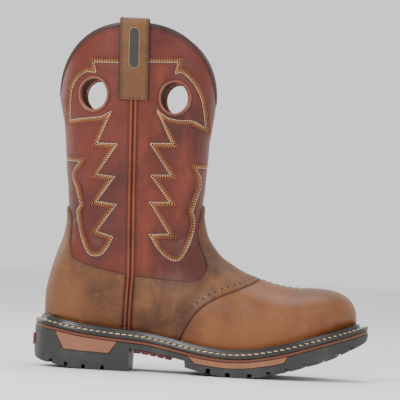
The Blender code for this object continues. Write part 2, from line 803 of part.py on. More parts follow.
def make_binding(upper, finish):
    """Folded edge along the collar: a channel that caps the leather."""
    near, far = GAP, GAP + BINDING_THICK
    lift = np.array([0.0, 0.0, BINDING_RISE])
    points, faces = [], []
    for top, low in zip(upper.collar, upper.below_collar):
        edge, foot = upper.points[top], upper.points[low]
        out, foot_out = upper.normals[top], upper.normals[low]
        points += [
            foot + foot_out * far,
            edge + out * far,
            edge + out * near + lift * far,
            edge - out * (WALL + near) + lift * far,
            edge - out * (WALL + far),
            foot - foot_out * (WALL + far),
            foot - foot_out * (WALL + near),
            edge - out * (WALL + near) + lift * near,
            edge + out * near + lift * near,
            foot + foot_out * near,
        ]
    sides, count = 10, len(upper.collar)
    falling = (4, 8)
    for k in range(count):
        base, after = k * sides, (k + 1) % count * sides
        for s in range(sides):
            t = (s + 1) % sides
            a, b, c, d = base + s, base + t, after + t, after + s
            if (s in falling) == (k < count // 2):
                faces += [(a, b, d), (b, c, d)]
            else:
                faces += [(a, b, c), (a, c, d)]
    return add_body("collar_binding", points, faces, finish)


def strap_path(x):
    """One line of a strap's under face, from its outer end to its inner end.

    Each point is a distance from the centre plane and a height, and comes with
    the direction in which the strap's thickness goes, out and up.
    """
    clear = GAP + BINDING_THICK + 2 * GAP
    low = SHAFT_TOP - STRAP_LENGTH
    path = []
    for share in np.linspace(0, 1, 6):
        z = low + share * (SHAFT_TOP - low)
        stand = GAP + (clear - GAP) * min(1.0, share / 0.85)
        path.append((shaft_side(x, z) + stand, z, 1.0, 0.0))
    side = shaft_side(x, SHAFT_TOP)
    radius = WALL / 2 + clear
    for step in range(1, 6):
        angle = math.pi * step / 6
        path.append(
            (
                side - WALL / 2 + radius * math.cos(angle),
                SHAFT_TOP + GAP + BINDING_THICK + radius * math.sin(angle),
                math.cos(angle),
                math.sin(angle),
            )
        )
    for share in np.linspace(0, 1, 4):
        z = SHAFT_TOP - share * STRAP_INSIDE
        stand = clear + (GAP - clear) * min(1.0, share)
        path.append((shaft_side(x, z) - WALL - stand, z, -1.0, 0.0))
    return path


def make_straps(finish):
    """Pull straps, looped over the collar above each side seam."""
    across = np.linspace(-0.5, 0.5, 5)
    for side, label in ((-1, "lateral"), (1, "medial")):
        sheets = ([], [])
        for share in across:
            middle = seam_x(SHAFT_TOP - STRAP_LENGTH / 2)
            for y, z, out, up in strap_path(middle + share * STRAP_WIDTH):
                x = seam_x(min(z, SHAFT_TOP)) + share * STRAP_WIDTH
                outer = side * (y + out * STRAP_THICK)
                sheets[0].append((x, side * y, z))
                sheets[1].append((x, outer, z + up * STRAP_THICK))
        columns, count = len(across), len(sheets[0]) // len(across)
        points = sheets[0] + sheets[1]
        total = columns * count
        faces = []
        for c in range(columns - 1):
            for k in range(count - 1):
                a, b = c * count + k, c * count + k + 1
                d, e = a + count, b + count
                faces += [(a, b, e, d), (a + total, d + total, e + total, b + total)]
        for c in range(columns - 1):
            for k in (0, count - 1):
                a, b = c * count + k, (c + 1) * count + k
                faces.append((a, b, b + total, a + total))
        for k in range(count - 1):
            for c in (0, columns - 1):
                a, b = c * count + k, c * count + k + 1
                faces.append((a, b, b + total, a + total))
        add_body("strap_" + label, points, faces, finish)


def slab(name, lateral, medial, top, bottom, finish):
    """A plate between two height functions, over matching side points."""
    points, faces = [], []
    count = len(lateral)
    for line in (lateral, medial):
        for height in (top, bottom):
            points += [(x, y, height(x)) for x, y in line]
    lt, lb, mt, mb = (k * count for k in range(4))
    for k in range(count - 1):
        faces += [
            (lt + k, lt + k + 1, mt + k + 1, mt + k),
            (lb + k, mb + k, mb + k + 1, lb + k + 1),
            (lt + k, lb + k, lb + k + 1, lt + k + 1),
            (mt + k, mt + k + 1, mb + k + 1, mb + k),
        ]
    for k in (0, count - 1):
        faces.append((lt + k, mt + k, mb + k, lb + k))
    return add_body(name, points, faces, finish)


def sole_stations():
    """Places along the sole, closer together towards its rounded ends."""
    fine = 0.0004
    end = SOLE_LENGTH / 2 - MIDSOLE_INSET - fine
    steps = [float(x_at(share)) for share in (BREAST_SHARE, ARCH_END_SHARE)]
    angle = np.linspace(0, math.pi, SOLE_STEPS)
    xs = [-end * math.cos(a) for a in angle]
    flat = [float(x_at(share)) for share in BALL_FLAT]
    xs = [x for x in xs if min(abs(x - place) for place in steps + flat) > 0.002]
    xs += flat
    xs += [step + side * fine for step in steps for side in (-1, 1)]
    return sorted(xs)


def sole_line(xs, side, inset):
    return [(x, OUTLINES.half(x, side, inset)) for x in xs]


def make_midsole(finish):
    lines = [sole_line(sole_stations(), side, MIDSOLE_INSET) for side in (-1, 1)]
    return slab(
        "midsole",
        *lines,
        lambda x: float(seat_z(x)),
        lambda x: float(seat_z(x)) - MIDSOLE_THICK,
        finish,
    )


def make_insole(upper, finish):
    """Footbed inside the upper's foot."""
    line = upper.foot_line(-WALL - GAP)
    count = upper.first_closed
    lateral = [tuple(p) for p in line[:count]]
    medial = [tuple(p) for p in line[count + 1 :][::-1]]
    return slab(
        "insole",
        lateral,
        medial,
        lambda x: float(seat_z(x)) + 2 * GAP + INSOLE_THICK,
        lambda x: float(seat_z(x)) + 2 * GAP,
        finish,
    )


def overlay_reach(x):
    """How far the overlays stand off the upper at the welt."""
    foot = float(x_at(SADDLE_FRONT[-2].reach))
    share = np.clip((x - foot) / 0.01, 0, 1)
    return GAP + SADDLE_THICK + (VAMP_THICK - SADDLE_THICK) * share + GAP


def make_welt(upper, finish):
    """Storm welt: a stitched ledge with a bead standing against the upper."""
    line = upper.foot_line(0.0)
    outward = upper.normals[upper.skirt][:, :2]
    count = len(line)
    rim = nearest_outline(line, outward)
    points, faces = [], []
    sides = 6
    for k in range(count):
        start = line[k] + outward[k] * overlay_reach(line[k][0])
        width = np.linalg.norm(rim[k] - start)
        reach = (rim[k] - start) / width
        seat = [float(seat_z(p[0])) for p in (start, rim[k])]
        bead = start + reach * BEAD_WIDTH
        ledge = start + reach * (BEAD_WIDTH + BEAD_SLOPE)
        bead_seat, ledge_seat = float(seat_z(bead[0])), float(seat_z(ledge[0]))
        points += [
            (*start, seat[0] + 2 * GAP),
            (*start, seat[0] + WELT_BEAD),
            (*bead, bead_seat + WELT_BEAD - BEAD_FALL),
            (*ledge, ledge_seat + (WELT_EDGE + WELT_BEAD) / 2),
            (*rim[k], seat[1] + WELT_EDGE),
            (*rim[k], seat[1] + 2 * GAP),
        ]
    for k in range(count):
        base, after = k * sides, (k + 1) % count * sides
        for s in range(sides):
            t = (s + 1) % sides
            faces += [
                (base + s, base + t, after + t),
                (base + s, after + t, after + s),
            ]
    return add_body("welt", points, faces, finish)


def nearest_outline(line, outward):
    """Point of the outsole's outline straight out from each feather point."""
    loop = np.vstack([OUTLINES.sole[0], OUTLINES.sole[1][-2:0:-1]])
    rim = []
    for point, out in zip(line, outward):
        away = loop - point
        ahead = away @ out
        aside = np.abs(away @ np.array([-out[1], out[0]]))
        aside[ahead < 0] = 1.0
        hit = int(np.argmin(aside))
        rim.append(point + out * (ahead[hit] - WELT_INSET))
    return np.array(rim)


BLOCK_FACES = (
    (0, 3, 2, 1),
    (4, 5, 6, 7),
    (0, 1, 5, 4),
    (1, 2, 6, 5),
    (2, 3, 7, 6),
    (3, 0, 4, 7),
)


def box_cutter(name, blocks):
    """A helper of separate blocks, each given by its eight corners."""
    points, faces = [], []
    for corners in blocks:
        base = len(points)
        points += corners
        faces += [tuple(base + k for k in quad) for quad in BLOCK_FACES]
    return add_body(name, points, faces, None, helper=True)


def groove_blocks(shares, width, inner, slant):
    """Cross grooves from the sole's edges to a line near its middle."""
    blocks = []
    for share in shares:
        x = float(x_at(share))
        root = tread_z(x) + TREAD_DEPTH
        for side in (-1, 1):
            edge = OUTLINES.half(x, side) + side * 0.02
            y_in = side * inner
            shift = slant * abs(edge - y_in)
            corners = []
            for z, grow in ((-BELOW_FLOOR, 1.0), (root, GROOVE_TAPER)):
                half = width / 2 * grow
                corners += [
                    (x - half, edge, z),
                    (x + half, edge, z),
                    (x + half + shift, y_in, z),
                    (x - half + shift, y_in, z),
                ]
            blocks.append(corners)
    return blocks


def centre_blocks(shares, width, reach):
    """Short cross grooves between the two channels."""
    blocks = []
    for first, second in zip(shares, shares[1:]):
        x = float(x_at((first + second) / 2))
        root = tread_z(x) + TREAD_DEPTH
        corners = []
        for z, grow in ((-BELOW_FLOOR, 1.0), (root, GROOVE_TAPER)):
            half = width / 2 * grow
            corners += [
                (x - half, -reach, z),
                (x + half, -reach, z),
                (x + half, reach, z),
                (x - half, reach, z),
            ]
        blocks.append(corners)
    return blocks


def channel(name, y, start, end, width, steps):
    """A helper: one groove along the tread."""
    points, faces = [], []
    xs = np.linspace(start, end, steps)
    for x in xs:
        root = tread_z(float(x)) + TREAD_DEPTH
        low, high = width / 2, width / 2 * GROOVE_TAPER
        for dy, z in ((-low, -BELOW_FLOOR), (low, -BELOW_FLOOR), (high, root), (-high, root)):
            points.append((float(x), y + dy, z))
    for k in range(steps - 1):
        for s in range(4):
            t = (s + 1) % 4
            faces.append((4 * k + s, 4 * k + t, 4 * k + 4 + t, 4 * k + 4 + s))
    faces += [(0, 1, 2, 3), tuple(4 * (steps - 1) + s for s in (3, 2, 1, 0))]
    return add_body(name, points, faces, None, helper=True)


def panel_points(panel, side, top, bottom, steps, out, deep, grow):
    """Corner points of a side panel: steps sections of four corners each.

    grow widens it at its ends and below, and opens it upwards.
    """
    rise = POCKET_RISE if grow else 0.0
    points = []
    for u in np.linspace(0, 1, steps):
        spread = (2 * u - 1) * grow
        high_share = panel.top_back + u * (panel.top_front - panel.top_back)
        low_share = panel.low_back + u * (panel.low_front - panel.low_back)
        high_x, low_x = (float(x_at(share)) + spread for share in (high_share, low_share))
        high = np.array([high_x, top(high_x)])
        low = np.array([low_x, bottom(low_x) - grow])
        high += (high - low) * rise
        for (x, z), place in ((high, high_x), (low, low_x)):
            edge = OUTLINES.half(place, side)
            points.append((x, edge + side * out, z))
            points.append((x, edge - side * deep, z))
    return points


def add_panel(name, panel, side, top, bottom, steps, out, deep, finish, grow=0.0):
    points = panel_points(panel, side, top, bottom, steps, out, deep, grow)
    faces = []
    for k in range(steps - 1):
        a, b = 4 * k, 4 * k + 4
        for s, t in ((0, 1), (1, 3), (3, 2), (2, 0)):
            faces += [(a + s, a + t, b + t), (a + s, b + t, b + s)]
    last = 4 * (steps - 1)
    faces += [(0, 1, 3, 2), (last + 2, last + 3, last + 1, last)]
    return add_body(name, points, faces, finish, helper=finish is None)


def panel_top(x):
    return float(seat_z(x)) - MIDSOLE_THICK - GAP


def fore_low(x):
    return float(seat_z(x)) - RAIL_DEPTH


def heel_low(x):
    return HEEL_PANEL_LOW * HEEL_HEIGHT + HEEL_PANEL_TILT * (float(seat_z(x)) - HEEL_HEIGHT)


def make_outsole(finishes):
    """Rubber unit with heel, arch and lugs, and the panels let into its sides."""
    lines = [sole_line(sole_stations(), side, 0.0) for side in (-1, 1)]
    body = slab("outsole", *lines, panel_top, tread_z, finishes["rubber"])
    half = CHANNEL_APART / 2
    inner = half + CHANNEL_WIDTH * 0.1
    fore = groove_blocks(FORE_GROOVES, GROOVE_WIDTH, inner, FORE_SLANT)
    heel = groove_blocks(HEEL_GROOVES, HEEL_GROOVE_WIDTH, inner, HEEL_SLANT)
    boolean(body, box_cutter("cross_groove_cutter", fore + heel), "DIFFERENCE")
    middle = centre_blocks(FORE_GROOVES[:-1], GROOVE_WIDTH, half)
    middle += centre_blocks(HEEL_GROOVES, HEEL_GROOVE_WIDTH, half)
    boolean(body, box_cutter("centre_groove_cutter", middle), "DIFFERENCE")
    for side in (-1, 1):
        y = side * half
        fore_run = (float(x_at(FORE_GROOVES[0])), float(x_at(FORE_GROOVES[-2])))
        heel_run = (float(x_at(HEEL_GROOVES[0])), float(x_at(HEEL_GROOVES[-1])))
        run = channel(f"fore_channel_cutter_{side}", y, *fore_run, CHANNEL_WIDTH, 12)
        boolean(body, run, "DIFFERENCE")
        run = channel(f"heel_channel_cutter_{side}", y, *heel_run, CHANNEL_WIDTH, 5)
        boolean(body, run, "DIFFERENCE")
    for side, label in ((-1, "lateral"), (1, "medial")):
        for kind, panel, low, steps in (
            ("heel", HEEL_PANEL, heel_low, 6),
            ("forepart", FORE_PANEL, fore_low, 9),
        ):
            name = f"{kind}_inlay_{label}"
            shape = (panel, side, panel_top, low, steps)
            add_panel(name, *shape, INLAY_PROUD, INLAY_DEPTH, finishes["inlay"])
            cut = (POCKET_OUT, INLAY_DEPTH + 2 * GAP, None, 1.5 * GAP)
            boolean(body, add_panel(name + "_pocket", *shape, *cut), "DIFFERENCE")
    return body


def make_arch_insert(finish):
    """Ribbed plate under the arch."""
    start = float(x_at(BREAST_SHARE)) + ARCH_START
    end = start + ARCH_LENGTH
    pitch = (end - start - ARCH_RIB_LENGTH) / (ARCH_RIBS - 1)
    outline = [(x, tread_z(x) - GAP) for x in np.linspace(end, start, 7)]
    for k in range(ARCH_RIBS):
        back = start + k * pitch
        front = back + ARCH_RIB_LENGTH
        for x, drop in ((back, 0.0), (back, ARCH_RIB_DROP), (front, ARCH_RIB_DROP), (front, 0.0)):
            outline.append((x, tread_z(x) - GAP - ARCH_PLATE - drop))
    middle = (OUTLINES.half(start, -1) + OUTLINES.half(start, 1)) / 2
    half = ARCH_WIDTH / 2
    return prism("arch_insert", outline, middle - half, middle + half, finish)


def make_badge(finish):
    """Plain panel on the back of the heel."""
    x = -SOLE_LENGTH / 2
    middle = float(seat_z(x)) - BADGE_DROP
    low, high = middle - BADGE_HEIGHT / 2, middle + BADGE_HEIGHT / 2
    points, faces = [], []
    ys = np.linspace(-BADGE_WIDTH / 2, BADGE_WIDTH / 2, 7)
    heel = np.vstack([OUTLINES.sole[0][-60:], OUTLINES.sole[1][::-1][1:60]])
    order = np.argsort(heel[:, 1])
    for y in ys:
        edge = float(np.interp(y, heel[order, 1], heel[order, 0])) - 2 * GAP
        for z in (low, high):
            points += [(edge, float(y), z), (edge - BADGE_THICK, float(y), z)]
    for k in range(len(ys) - 1):
        a, b = 4 * k, 4 * k + 4
        for s, t in ((0, 1), (1, 3), (3, 2), (2, 0)):
            faces.append((a + s, a + t, b + t, b + s))
    last = 4 * (len(ys) - 1)
    faces += [(0, 1, 3, 2), (last + 2, last + 3, last + 1, last)]
    return add_body("heel_badge", points, faces, finish)


def main():
    for obj in list(bpy.data.objects):
        bpy.data.objects.remove(obj)
    brown = material("saddle_leather", (0.27, 0.12, 0.045), 0.55)
    red = material("shaft_leather", (0.24, 0.055, 0.024), 0.4)
    dark = material("binding_leather", (0.035, 0.016, 0.012), 0.5)
    black = material("black_rubber", (0.012, 0.012, 0.012), 0.6)
    tan = material("tan_rubber", (0.36, 0.17, 0.10), 0.6)
    stripe = material("brown_midsole", (0.20, 0.075, 0.035), 0.6)
    finishes = {
        "vamp": brown,
        "saddle": material("dark_saddle_leather", (0.20, 0.09, 0.035), 0.6),
        "counter": brown,
        "seam": red,
        "rubber": black,
        "inlay": tan,
    }
    upper = Upper()
    make_upper(upper, red)
    make_rings(upper, red)
    make_overlays(upper, finishes)
    make_binding(upper, dark)
    make_straps(brown)
    make_insole(upper, tan)
    make_welt(upper, black)
    make_midsole(stripe)
    make_outsole(finishes)
    make_arch_insert(material("red_rubber", (0.28, 0.05, 0.03), 0.5))
    make_badge(material("red_panel", (0.45, 0.02, 0.03), 0.4))


main()
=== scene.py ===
"""Dressed model of a western roper work boot, standing on its sole.

+X is the toe, +Y the medial (inner) side, -Y the lateral (outer) side and +Z
up, in metres, as in the frame. The leather is one surface, the last, built from
short tables of shares. Overlays are cut from it along their own edges, trims
follow its lines, and threads are sewn along those lines by Geometry Nodes.
"""
import logging
import math
from dataclasses import dataclass, field
from enum import Enum
from typing import Callable, Iterable, NamedTuple, Optional, Sequence, Union

import bmesh
import bpy
import numpy as np
from mathutils import Matrix, Vector
from mathutils.bvhtree import BVHTree


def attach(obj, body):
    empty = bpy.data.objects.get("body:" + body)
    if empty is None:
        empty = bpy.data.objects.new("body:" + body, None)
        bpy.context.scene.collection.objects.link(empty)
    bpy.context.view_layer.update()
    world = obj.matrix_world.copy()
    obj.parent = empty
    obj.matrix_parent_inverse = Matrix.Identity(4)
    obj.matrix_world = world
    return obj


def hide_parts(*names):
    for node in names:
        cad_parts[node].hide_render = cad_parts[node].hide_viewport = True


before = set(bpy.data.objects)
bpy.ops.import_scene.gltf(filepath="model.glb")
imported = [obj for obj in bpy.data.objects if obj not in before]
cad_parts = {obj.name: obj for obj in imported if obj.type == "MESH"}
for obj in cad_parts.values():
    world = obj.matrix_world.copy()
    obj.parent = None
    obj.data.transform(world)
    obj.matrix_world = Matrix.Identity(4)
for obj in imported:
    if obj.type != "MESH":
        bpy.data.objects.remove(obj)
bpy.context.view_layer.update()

LOG = logging.getLogger("roper_boot")
MM = 0.001
FAR = 0.01
SOLE_GAP = 0.0003
WALL = 0.0022
Colour = tuple[float, float, float]
Field = dict[str, np.ndarray]


class Side(Enum):
    """Side of the boot, with the sign of y there."""

    LATERAL = -1
    MEDIAL = 1


class Bend(Enum):
    """How a line passes a knot."""

    SHARP = "sharp"
    SOFT = "soft"


class Outline(NamedTuple):
    """Station of the outsole's outline, as shares."""

    reach: float
    outer: float
    inner: float
    ball_part: float


class Seat(NamedTuple):
    """Station of the line where welt and midsole meet, as shares."""

    reach: float
    heel: float
    spring: float


class Depth(NamedTuple):
    """Depth of the tread below the seat, as shares."""

    reach: float
    share: float


class FootRow(NamedTuple):
    """Section of the foot, from its ridge down to the feather line."""

    reach: float
    rise: float
    along: float
    ball: float
    heel: float
    peak: float
    square: float
    round: float


class ShaftRow(NamedTuple):
    """Level section of the shaft, as shares."""

    front_z: float
    front_reach: float
    back_z: float
    back_reach: float
    half: float


class Edge(NamedTuple):
    """Point of an overlay's edge seen from the side, as shares."""

    reach: float
    height: float


class Panel(NamedTuple):
    """Ends of a side panel of the sole, as shares of its length."""

    top_back: float
    top_front: float
    low_back: float
    low_front: float


class Knot(NamedTuple):
    """Point of the fancy stitching: millimetres from the side seam and up."""

    across: float
    height: float
    bend: Bend = Bend.SHARP


class Crease(NamedTuple):
    """A soft trough in the leather, seen from the side, in millimetres."""

    x: float
    z: float
    turn: float
    length: float
    width: float
    depth: float


OUTLINE = (
    Outline(1.000, -0.055, 0.055, 1.0),
    Outline(0.990, 0.060, 0.165, 1.0),
    Outline(0.968, 0.155, 0.262, 1.0),
    Outline(0.930, 0.258, 0.355, 1.0),
    Outline(0.875, 0.364, 0.437, 1.0),
    Outline(0.805, 0.448, 0.490, 1.0),
    Outline(0.730, 0.494, 0.500, 1.0),
    Outline(0.655, 0.508, 0.483, 1.0),
    Outline(0.580, 0.500, 0.436, 1.0),
    Outline(0.500, 0.470, 0.372, 1.0),
    Outline(0.420, 0.490, 0.366, 0.5),
    Outline(0.340, 0.500, 0.398, 0.1),
    Outline(0.260, 0.502, 0.440, 0.0),
    Outline(0.180, 0.500, 0.478, 0.0),
    Outline(0.115, 0.482, 0.476, 0.0),
    Outline(0.060, 0.408, 0.408, 0.0),
    Outline(0.020, 0.268, 0.268, 0.0),
    Outline(0.000, 0.000, 0.000, 0.0),
)
SEAT = (
    Seat(0.000, 1.77, 0.0),
    Seat(0.063, 1.53, 0.0),
    Seat(0.157, 1.19, 0.0),
    Seat(0.248, 1.00, 0.0),
    Seat(0.328, 0.87, 0.0),
    Seat(0.400, 0.62, 0.0),
    Seat(0.455, 0.37, 0.0),
    Seat(0.516, 0.14, 0.0),
    Seat(0.590, 0.00, 0.0),
    Seat(0.625, 0.00, 0.01),
    Seat(0.688, 0.00, 0.09),
    Seat(0.762, 0.00, 0.25),
    Seat(0.836, 0.00, 0.47),
    Seat(0.910, 0.00, 0.69),
    Seat(0.970, 0.00, 0.88),
    Seat(1.000, 0.00, 1.00),
)
HEEL_DEPTH = (
    Depth(0.000, 0.86),
    Depth(0.007, 1.04),
    Depth(0.036, 1.11),
    Depth(0.090, 1.115),
    Depth(0.146, 1.09),
    Depth(0.180, 1.20),
    Depth(0.300, 1.20),
)
FORE_DEPTH = (
    Depth(0.462, 0.84),
    Depth(0.513, 0.91),
    Depth(0.570, 0.97),
    Depth(0.590, 1.05),
    Depth(0.640, 1.07),
    Depth(0.700, 1.045),
    Depth(0.850, 1.045),
    Depth(0.900, 0.98),
    Depth(0.945, 0.80),
    Depth(0.980, 0.69),
    Depth(0.995, 0.60),
    Depth(1.000, 0.34),
)
FORE_GROOVES = (0.523, 0.581, 0.646, 0.702, 0.756, 0.807, 0.857, 0.903, 0.941, 0.972)
HEEL_GROOVES = (0.067, 0.113, 0.166, 0.223)
HEEL_PANEL = Panel(0.069, 0.256, 0.096, 0.233)
FORE_PANEL = Panel(0.471, 0.766, 0.492, 0.757)
FOOT_ROWS = (
    FootRow(0.9572, 0.190, 0.000, 0.000, 0.0, 0.52, 2.3, 0.95),
    FootRow(0.9563, 0.205, 0.020, 0.110, 0.0, 0.52, 2.3, 0.95),
    FootRow(0.9485, 0.280, 0.055, 0.215, 0.0, 0.55, 2.3, 0.95),
    FootRow(0.9304, 0.367, 0.095, 0.300, 0.0, 0.58, 2.3, 0.95),
    FootRow(0.9060, 0.435, 0.140, 0.366, 0.0, 0.60, 2.25, 0.95),
    FootRow(0.8690, 0.498, 0.190, 0.416, 0.0, 0.62, 2.2, 0.95),
    FootRow(0.8236, 0.549, 0.245, 0.446, 0.0, 0.62, 2.15, 0.95),
    FootRow(0.7720, 0.593, 0.305, 0.457, 0.0, 0.62, 2.1, 0.95),
    FootRow(0.7170, 0.660, 0.370, 0.448, 0.0, 0.62, 2.05, 0.95),
    FootRow(0.6634, 0.742, 0.440, 0.424, 0.0, 0.62, 2.0, 0.95),
    FootRow(0.6165, 0.811, 0.510, 0.394, 0.0, 0.60, 2.0, 0.95),
    FootRow(0.5810, 0.876, 0.580, 0.362, 0.0, 0.58, 2.0, 0.95),
    FootRow(0.5492, 0.934, 0.645, 0.100, 0.360, 0.57, 2.0, 0.92),
    FootRow(0.5285, 0.996, 0.705, 0.0, 0.492, 0.56, 2.0, 0.88),
    FootRow(0.5129, 1.055, 0.765, 0.0, 0.488, 0.56, 2.0, 0.82),
    FootRow(0.5019, 1.109, 0.820, 0.0, 0.490, 0.56, 2.0, 0.75),
    FootRow(0.4955, 1.163, 0.875, 0.0, 0.498, 0.55, 2.0, 0.67),
    FootRow(0.4922, 1.218, 0.935, 0.0, 0.510, 0.54, 2.0, 0.58),
)
SHAFT_ROWS = (
    ShaftRow(0.4402, 0.4896, 0.1610, 0.0305, 0.376),
    ShaftRow(0.4520, 0.4866, 0.2080, 0.0305, 0.384),
    ShaftRow(0.4710, 0.4851, 0.2620, 0.0395, 0.392),
    ShaftRow(0.4940, 0.4851, 0.3230, 0.0560, 0.401),
    ShaftRow(0.5200, 0.4870, 0.3880, 0.0773, 0.410),
    ShaftRow(0.5500, 0.4893, 0.4520, 0.0828, 0.419),
    ShaftRow(0.5830, 0.4916, 0.5190, 0.0777, 0.428),
    ShaftRow(0.6200, 0.4939, 0.5820, 0.0689, 0.438),
    ShaftRow(0.6600, 0.4948, 0.6440, 0.0634, 0.449),
    ShaftRow(0.7050, 0.5006, 0.7020, 0.0566, 0.462),
    ShaftRow(0.7480, 0.5058, 0.7480, 0.0460, 0.476),
    ShaftRow(0.7720, 0.5078, 0.7720, 0.0405, 0.484),
)
COUNTER_TOP = (
    Edge(0.060, 0.498),
    Edge(0.096, 0.441),
    Edge(0.099, 0.368),
    Edge(0.108, 0.325),
    Edge(0.133, 0.309),
    Edge(0.195, 0.293),
    Edge(0.300, 0.275),
)
SADDLE_TOP = (
    Edge(0.260, 0.280),
    Edge(0.390, 0.271),
    Edge(0.464, 0.269),
    Edge(0.493, 0.279),
    Edge(0.509, 0.309),
    Edge(0.501, 0.337),
    Edge(0.480, 0.388),
    Edge(0.480, 0.460),
    Edge(0.492, 0.513),
)
SADDLE_FRONT = (
    Edge(0.690, 0.290),
    Edge(0.641, 0.263),
    Edge(0.599, 0.244),
    Edge(0.541, 0.219),
    Edge(0.499, 0.188),
    Edge(0.471, 0.152),
    Edge(0.455, 0.122),
    Edge(0.444, 0.093),
    Edge(0.430, 0.030),
)
SEAM_LINE = (
    Edge(0.282, 0.020),
    Edge(0.282, 0.118),
    Edge(0.286, 0.278),
    Edge(0.279, 0.493),
    Edge(0.275, 0.636),
    Edge(0.271, 0.795),
    Edge(0.264, 1.000),
)
FRONT_FLAME = (
    Knot(11, 284),
    Knot(40, 285.5),
    Knot(37, 275),
    Knot(44, 276, Bend.SOFT),
    Knot(53, 268, Bend.SOFT),
    Knot(59.5, 257, Bend.SOFT),
    Knot(63, 244.5, Bend.SOFT),
    Knot(65, 227),
    Knot(54, 232.5, Bend.SOFT),
    Knot(41, 232.5, Bend.SOFT),
    Knot(31, 234.5, Bend.SOFT),
    Knot(21.5, 241),
    Knot(35.5, 211),
    Knot(16, 210),
    Knot(35, 182),
    Knot(17, 181),
    Knot(35, 157),
    Knot(17, 156),
    Knot(34.5, 128),
    Knot(17, 126.5),
    Knot(24.5, 114, Bend.SOFT),
    Knot(33, 106, Bend.SOFT),
    Knot(40.5, 103.5, Bend.SOFT),
    Knot(46, 106, Bend.SOFT),
    Knot(51.5, 116, Bend.SOFT),
    Knot(56, 130.5, Bend.SOFT),
    Knot(57, 142, Bend.SOFT),
    Knot(55, 150),
    Knot(58.5, 161, Bend.SOFT),
    Knot(61.5, 170.5, Bend.SOFT),
    Knot(62, 180, Bend.SOFT),
    Knot(57.5, 190),
    Knot(70, 190.5),
)
BACK_FLAME = (
    Knot(-11, 282.5),
    Knot(-37.5, 282),
    Knot(-35.5, 272.5),
    Knot(-45.5, 272.5, Bend.SOFT),
    Knot(-54, 265.5, Bend.SOFT),
    Knot(-58.5, 256, Bend.SOFT),
    Knot(-59.5, 244, Bend.SOFT),
    Knot(-60, 228),
    Knot(-40.5, 231, Bend.SOFT),
    Knot(-30, 232.5, Bend.SOFT),
    Knot(-20.5, 237.5),
    Knot(-33, 208),
    Knot(-14, 208),
    Knot(-33, 179.5),
    Knot(-16, 178),
    Knot(-32.5, 154.5),
    Knot(-14, 152.5),
    Knot(-32, 127),
    Knot(-16.5, 123),
    Knot(-21, 113.5, Bend.SOFT),
    Knot(-26.5, 106.5, Bend.SOFT),
    Knot(-33, 104.5, Bend.SOFT),
    Knot(-39.5, 107, Bend.SOFT),
    Knot(-45.5, 118.5, Bend.SOFT),
    Knot(-49, 131, Bend.SOFT),
    Knot(-51.5, 144, Bend.SOFT),
    Knot(-48, 151),
    Knot(-50, 157, Bend.SOFT),
    Knot(-53, 167, Bend.SOFT),
    Knot(-57, 178, Bend.SOFT),
    Knot(-49.5, 190.5),
    Knot(-62, 191),
)
CREASES = (
    Crease(-116, 168, 70, 34, 9, 0.9),
    Crease(-120, 140, 35, 30, 8, 0.8),
    Crease(-17, 172, -65, 36, 9, 0.9),
    Crease(-12, 146, -40, 28, 8, 0.7),
    Crease(-40, 122, 12, 40, 11, 0.7),
    Crease(-95, 120, -14, 34, 10, 0.7),
    Crease(-44, 258, 80, 42, 10, 0.6),
    Crease(-99, 262, 95, 40, 10, 0.5),
    Crease(12, 88, -30, 34, 9, 0.6),
    Crease(36, 66, -42, 40, 10, 0.5),
)


def smooth_table(xs: Sequence[float], ys: Sequence[float], at: np.ndarray) -> np.ndarray:
    """Cubic through a table's points that never overshoots them.

    Args:
        xs: rising places of the points.
        ys: values of the points.
        at: places to read.

    Returns:
        The values there.
    """
    xs, ys, at = np.asarray(xs, float), np.asarray(ys, float), np.asarray(at, float)
    step = np.diff(xs)
    slope = np.diff(ys) / step
    tangent = np.zeros(len(xs))
    for k in range(1, len(xs) - 1):
        if slope[k - 1] * slope[k] > 0:
            w1, w2 = 2 * step[k] + step[k - 1], step[k] + 2 * step[k - 1]
            tangent[k] = (w1 + w2) / (w1 / slope[k - 1] + w2 / slope[k])
    tangent[0], tangent[-1] = slope[0], slope[-1]
    k = np.clip(np.searchsorted(xs, at, side="right") - 1, 0, len(xs) - 2)
    t = np.clip((at - xs[k]) / step[k], 0.0, 1.0)
    ease = t * t * (3 - 2 * t)
    bend = tangent[k] * t * (1 - t) ** 2 - tangent[k + 1] * t * t * (1 - t)
    return ys[k] * (1 - ease) + ys[k + 1] * ease + step[k] * bend


def spline(points: Sequence[Sequence[float]], steps: int, closed: bool = False) -> np.ndarray:
    """Catmull-Rom curve through points.

    Args:
        points: the points, in order.
        steps: points made for each span.
        closed: whether the curve returns to its start.

    Returns:
        The curve's points.
    """
    pts = np.asarray(points, float)
    count = len(pts)
    out = []
    for k in range(count if closed else count - 1):
        if closed:
            a, b, c, d = (pts[(k + n) % count] for n in (-1, 0, 1, 2))
        else:
            b, c = pts[k], pts[k + 1]
            a = pts[k - 1] if k else 2 * b - c
            d = pts[k + 2] if k + 2 < count else 2 * c - b
        for t in np.arange(steps) / steps:
            cubic = (3 * b - 3 * c + d - a) * t**3
            out.append(0.5 * (2 * b + (c - a) * t + (2 * a - 5 * b + 4 * c - d) * t * t + cubic))
    if not closed:
        out.append(pts[-1])
    return np.array(out)


def unit(vectors: np.ndarray) -> np.ndarray:
    """Vectors scaled to length 1, one in each row."""
    length = np.linalg.norm(vectors, axis=-1, keepdims=True)
    return vectors / np.maximum(length, 1e-12)


def ease(values: Union[float, np.ndarray]) -> Union[float, np.ndarray]:
    """Smooth step from 0 to 1."""
    t = np.clip(values, 0.0, 1.0)
    return t * t * (3 - 2 * t)


def placed(name: str, data: object) -> bpy.types.Object:
    """A new object in the scene, at the origin."""
    obj = bpy.data.objects.new(name, data)
    bpy.context.scene.collection.objects.link(obj)
    return obj


